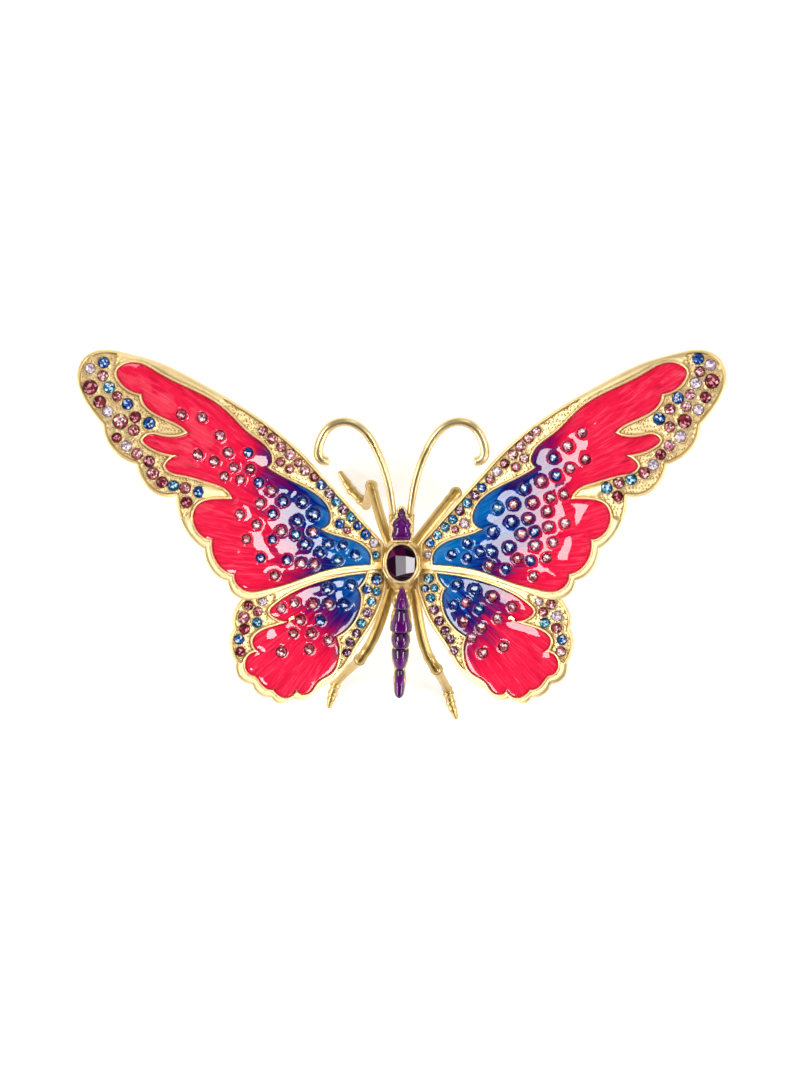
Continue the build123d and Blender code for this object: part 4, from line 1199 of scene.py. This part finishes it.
def oval_stone():
    """Vertices, faces and painted tones, standing for reflections, of the oval stone: large facets, a fringe
    of small ones and a back.
    """
    plan = np.array(OVAL_MIDDLE + OVAL_RING)
    share = (plan[:, 0] / OVAL_SIZE[0]) ** 2 + (plan[:, 1] / OVAL_SIZE[1]) ** 2
    verts = np.column_stack([plan, OVAL_RISE * (1 - share) ** 0.75]).tolist()
    faces = [face for face, _, _ in OVAL_FACETS]
    tones = [(tone, second) for _, tone, second in OVAL_FACETS]
    first = len(OVAL_MIDDLE)
    count = len(OVAL_RING)
    turns = [math.atan2(y / OVAL_SIZE[1], x / OVAL_SIZE[0]) % (2 * math.pi) for x, y in OVAL_RING]
    girdle = []
    for k, turn in enumerate(turns):
        following = turns[(k + 1) % count]
        if following < turn:
            following += 2 * math.pi
        girdle += [turn, (turn + following) / 2]
    start = len(verts)
    verts += ellipse(OVAL_SIZE, 0.0, girdle)
    for k in range(count):
        corner, beside = first + k, first + (k + 1) % count
        at, middle, after = start + 2 * k, start + 2 * k + 1, start + (2 * k + 2) % (2 * count)
        faces += [(corner, at, middle), (corner, middle, beside), (beside, middle, after)]
        for number in range(3):
            tones.append((0.08 + 0.5 * hashed(k, number, 4.0) ** 3, 0.5 * hashed(k, number, 2.0)))
    foot = len(verts)
    reach, depth = OVAL_FOOT
    verts += ellipse([half * reach for half in OVAL_SIZE], depth, girdle)
    round_count = 2 * count
    for k in range(round_count):
        beside = (k + 1) % round_count
        faces.append((start + k, foot + k, foot + beside, start + beside))
        tones.append((0.05, 0.1))
    faces.append(tuple(foot + k for k in range(round_count))[::-1])
    tones.append((0.05, 0.1))
    return np.array(verts) + (0, THORAX_Y, OVAL_GIRDLE_Z), faces, tones


verts, faces, tones = oval_stone()
oval = make_piece("thorax_crystal", verts, faces, OVAL, ["thorax_stone"], sharp=0)
facet_attribute(oval, [(*tone, 0.0, 1.0) for tone, face in zip(tones, faces) for _ in face])

# Rounded gold collar round the stone, as share of the way out and height over its foot
BEZEL_INNER = (4.66, 5.6)
BEZEL_OUTER = (5.5, 6.4)
BEZEL_FOOT_Z = 38.25
BEZEL_PROFILE = [
    (0.0, 2.2), (0.0, 2.72), (0.08, 2.92), (0.22, 3.06), (0.42, 3.14), (0.62, 3.10), (0.80, 2.94),
    (0.93, 2.64), (1.0, 2.2), (1.0, 0.0), (0.55, 0.0), (0.0, 0.8),
]
BEZEL_SIDES = 72


def bezel_ring():
    """Vertices, faces and inner-edge shade of the collar, swept round the oval."""
    verts, shade = [], []
    for turn in even_turns(BEZEL_SIDES):
        for share, height in BEZEL_PROFILE:
            half = [inner + (outer - inner) * share for inner, outer in zip(BEZEL_INNER, BEZEL_OUTER)]
            verts += ellipse(half, BEZEL_FOOT_Z + height, [turn])
            shade.append(1.0 if share < 0.05 else 0.35 if share < 0.1 else 0.0)
    faces = sweep_faces(BEZEL_SIDES, len(BEZEL_PROFILE), closed=True)
    return np.array(verts) + (0, THORAX_Y, 0), faces, np.array(shade)


verts, faces, shade = bezel_ring()
bezel = make_piece("bezel_ring", verts, faces, GOLD, ["thorax_bezel"], sharp=50)
point_attribute(bezel, "painted_shade", shade)


# Antennae and legs
def tube(points, radii, sides=20):
    """A round tube along points, with radii along it and closed ends, clear of the floor."""
    path = np.array(points, float)
    along = unit(np.gradient(path, axis=0))
    side = unit(np.cross(along[0], (0, 0, 1)))
    verts = []
    for k, (place, direction) in enumerate(zip(path, along)):
        side = unit(side - direction * (side @ direction))
        up = np.cross(direction, side)
        for j in range(sides):
            turn = 2 * math.pi * j / sides
            verts.append(place + radii[k] * (math.cos(turn) * side + math.sin(turn) * up))
    verts = np.array(verts) + (0, THORAX_Y, 0)
    verts[:, 2] = np.maximum(verts[:, 2], 0.0)
    return verts, sweep_faces(len(path), sides)


ANTENNA_PATH = [
    (2.6, 14.0, 38.0), (3.5, 21.2, 42.2), (4.9, 27.5, 45.0), (8.1, 35.8, 48.0), (12.6, 42.0, 49.6),
    (16.9, 44.0, 50.0), (21.4, 43.2, 49.8), (25.2, 38.5, 49.0), (25.6, 33.1, 48.0), (22.4, 31.7, 47.4),
]
ANTENNA_STEP = 0.35
ANTENNA_RADII = [1.1, 1.15, 1.2, 1.25, 1.3, 1.35, 1.4, 1.45, 1.55, 1.7]


def along_path(count, values):
    """Values spread evenly along a path of so many points."""
    return np.interp(np.linspace(0, 1, count), np.linspace(0, 1, len(values)), values)


for side, side_name in SIDES:
    path = curve_points(ANTENNA_PATH, ANTENNA_STEP)
    path[:, 0] *= side
    radii = along_path(len(path), ANTENNA_RADII)
    from_end = ANTENNA_STEP * np.arange(len(path))[::-1]
    radii = radii + 0.22 * hump(from_end, 0, 0.5) - 0.12 * hump(from_end, 1.3, 0.5)
    radii = radii * np.sqrt(np.clip(1 - np.clip(1 - from_end / 1.3, 0, 1) ** 2, 0.02, 1))
    verts, faces = tube(path, radii)
    antenna = f"{side_name}_antenna"
    make_piece(f"{antenna}_wire", verts, faces, WIRE_GOLD, [antenna], sharp=50)

LEGS = {
    "left_front_leg": [
        (-3.0, 4.5, 31.6), (-5.6, 11.0, 30.4), (-7.6, 17.5, 28.6), (-9.5, 24.2, 26.0),
        (-11.2, 18.2, 3.0), (-15.8, 22.9, 1.3), (-19.3, 28.3, 0.9),
    ],
    "right_front_leg": [
        (3.0, 4.5, 31.6), (7.6, 10.4, 30.4), (12.4, 16.4, 28.6), (17.0, 22.0, 26.0),
        (20.5, 16.4, 3.0), (24.8, 20.4, 1.3), (28.4, 25.2, 0.9),
    ],
    "left_rear_leg": [
        (-2.4, -4.5, 30.2), (-5.2, -14.0, 28.0), (-8.3, -22.5, 25.6), (-13.2, -30.5, 22.0),
        (-20.5, -37.5, 3.2), (-21.9, -41.5, 1.3), (-23.0, -45.5, 0.9),
    ],
    "right_rear_leg": [
        (2.4, -4.5, 30.2), (4.8, -14.5, 28.0), (6.6, -24.0, 25.4), (11.0, -33.5, 22.0),
        (14.5, -40.0, 3.2), (15.6, -44.5, 1.3), (17.2, -49.0, 0.9),
    ],
}


def swollen(start, end, radii, swell, bumps=()):
    """A straight limb part whose radius swells at its ends, and at bumps given as share and height."""
    start, end = np.array(start, float), np.array(end, float)
    count = 30
    t = np.linspace(0, 1, count)
    path = start + t[:, None] * (end - start)
    size = radii[0] + (radii[1] - radii[0]) * t
    size = size + swell[0] * hump(t, 0, 0.09) + swell[1] * hump(t, 1, 0.09)
    for share, height in bumps:
        size = size + height * hump(t, share, 0.12)
    return tube(path, size)


def ball(place, radius, sides=18, rings=10):
    """A closed ball that rounds a joint of a limb, clear of the floor."""
    tilts = np.linspace(0, math.pi, rings + 1)
    path = np.array(place, float) + np.stack([-radius * np.cos(tilts), 0 * tilts, 0 * tilts], axis=1)
    return tube(path[1:-1], radius * np.sin(tilts)[1:-1], sides)


for name, points in LEGS.items():
    knee, ankle, knuckle, toe = points[3:]
    femur = curve_points(points[:4], 0.8)
    radii = along_path(len(femur), [1.5, 1.65, 1.7, 1.55])
    bend = np.linspace(0, 1, len(femur))
    radii = radii + 0.32 * hump(bend, 1, 0.05) + 0.18 * hump(bend, 0.86, 0.03)
    parts = [
        tube(femur, radii),
        ball(knee, 1.85),
        swollen(knee, ankle, (1.5, 1.35), (0.5, 0.2)),
        ball(ankle, 1.6),
        swollen(ankle, knuckle, (1.4, 1.3), (0.25, 0.3), [(0.36, 0.4)]),
        ball(knuckle, 1.6),
        swollen(knuckle, toe, (1.4, 0.8), (0.2, 0.0), [(0.45, 0.2)]),
        ball(toe, 0.82),
    ]
    verts, faces = joined(parts)
    make_piece(f"{name}_casting", verts, faces, SHADED_GOLD, [name], sharp=50)


# CAD pieces that stay, with their own finish
def dress(node, material):
    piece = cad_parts[node]
    piece.data.materials.clear()
    piece.data.materials.append(material)


dress("body_casting", SHADED_GOLD)
dress("wing_screws", STEEL)

# The cast body's corners are softened, as a casting's are
CAST_CELL = 0.3
CAST_ROUNDS = 30
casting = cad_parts["body_casting"]
remesh = casting.modifiers.new("cast_skin", "REMESH")
remesh.mode = "VOXEL"
remesh.voxel_size = CAST_CELL * MM
remesh.use_smooth_shade = True
soften = casting.modifiers.new("cast_soften", "SMOOTH")
soften.factor = 0.5
soften.iterations = CAST_ROUNDS

# Rounded shoulder of the casting, round the foot of the collar
SHOULDER_HALF = (6.7, 7.1)
SHOULDER_EDGE_Z = 37.1
SHOULDER_DOME = 1.2
SHOULDER_FOOT_Z = 36.2
shoulder_loop = np.array(ellipse(SHOULDER_HALF, 0.0, [-turn for turn in even_turns(90)]))[:, :2]
verts, faces = domed_plate(
    shoulder_loop, SHOULDER_EDGE_Z, SHOULDER_DOME, 0.7, SHOULDER_FOOT_Z, (0.08, 0.2, 0.4, 0.6, 0.8, 1.0), 0.6
)
shoulder = make_piece("thorax_shoulder", verts, outward_first(verts, faces), WIRE_GOLD, [], sharp=60)
# Painted shade in a ring where the shoulder meets the collar's foot
reach = np.hypot(verts[:, 0] / BEZEL_OUTER[0], (verts[:, 1] - THORAX_Y) / BEZEL_OUTER[1])
point_attribute(shoulder, "painted_shade", hump(reach, 1.0, 0.09))


# Floor, world, lights and camera
def white_where_seen(tree):
    """1 on rays from the camera and on reflected or transmitted ones."""
    path = add_node(tree, "LightPath").outputs
    seen = math_node(tree, "ADD", path["Is Camera Ray"], path["Is Glossy Ray"])
    return math_node(tree, "ADD", seen, path["Is Transmission Ray"], use_clamp=True)


# A light tent: white round the sides, then a dark band, and dim overhead, where the camera stands
TENT = [
    (0.0, (1.0, 1.0, 1.0)), (0.36, (1.0, 1.0, 1.0)), (0.48, (0.06, 0.06, 0.07)),
    (0.80, (0.06, 0.06, 0.07)), (0.92, (0.16, 0.16, 0.17)), (1.0, (0.20, 0.20, 0.21)),
]
world = bpy.data.worlds.new("studio")
bpy.context.scene.world = world
world.use_nodes = True
tree = world.node_tree
toward = add_node(tree, "TexCoord").outputs["Generated"]
height = add_node(tree, "SeparateXYZ", {"Vector": toward}).outputs["Z"]
feed(tree, tree.nodes["Background"], {"Color": ramp(tree, height, TENT), "Strength": 1.0})

FLOOR_HALF = 3.0
FLOOR_GLOW = 0.4
floor_mesh = bpy.data.meshes.new("studio_floor")
floor_corners = [(x * FLOOR_HALF, y * FLOOR_HALF, 0) for x, y in ((-1, -1), (1, -1), (1, 1), (-1, 1))]
floor_mesh.from_pydata(floor_corners, [], [(0, 1, 2, 3)])
studio_floor = add_object("studio_floor", floor_mesh)
material, tree, shader = new_material("studio_floor")
feed(tree, shader, {"Base Color": (0.8, 0.8, 0.8, 1), "Roughness": 0.9, "Specular IOR Level": 0.1})
glow_strength = math_node(tree, "MULTIPLY", white_where_seen(tree), FLOOR_GLOW)
glow = add_node(tree, "Emission", {"Strength": glow_strength})
both = add_node(tree, "AddShader", {0: shader.outputs[0], 1: glow.outputs[0]})
feed(tree, tree.nodes["Material Output"], {"Surface": both.outputs[0]})
floor_mesh.materials.append(material)


# Lamps: two large softboxes mirrored in the wings, small ones for the hindwings, the forewings'
# upper lobes and tips, and a low strip at each side. The lamps aim at the body's height
LAMP_CENTRE_Z = 0.04


def softbox(name, direction, distance, size, power):
    """An area light that faces the object from a direction."""
    data = bpy.data.lights.new(name, "AREA")
    data.shape = "RECTANGLE"
    data.size, data.size_y = size
    data.energy = power
    lamp = add_object(name, data)
    aim = Vector(direction).normalized()
    lamp.location = aim * distance + Vector((0, 0, LAMP_CENTRE_Z))
    lamp.rotation_mode = "QUATERNION"
    lamp.rotation_quaternion = aim.to_track_quat("Z", "Y")


softbox("left_softbox", (-0.665, 0.10, 0.745), 1.0, (0.36, 0.26), 3.9)
softbox("right_softbox", (0.70, 0.04, 0.715), 1.0, (0.27, 0.19), 2.45)
softbox("low_softbox", (0.42, -0.46, 0.78), 1.0, (0.15, 0.15), 1.2)
softbox("top_softbox", (0.28, 0.68, 0.68), 1.2, (0.3, 0.3), 1.5)
softbox("tip_softbox", (0.12, 0.36, 0.93), 1.1, (1.0, 0.28), 0.7)
softbox("left_strip", (-0.84, -0.45, 0.30), 1.0, (0.55, 0.2), 4.4)
softbox("right_strip", (0.84, -0.45, 0.30), 1.0, (0.55, 0.2), 3.9)

FRAME_HEIGHT = 0.3334
LENS = 300.0
SENSOR = 36.0
AIM = (-0.0005, 0.0011, 0.045)
camera_data = bpy.data.cameras.new("camera")
camera_data.lens = LENS
camera_data.sensor_width = SENSOR
camera = add_object("camera", camera_data)
camera.location = (AIM[0], AIM[1], AIM[2] + FRAME_HEIGHT * LENS / SENSOR)
camera_data.clip_end = 20
bpy.context.scene.camera = camera
bpy.context.scene.view_settings.view_transform = "Standard"
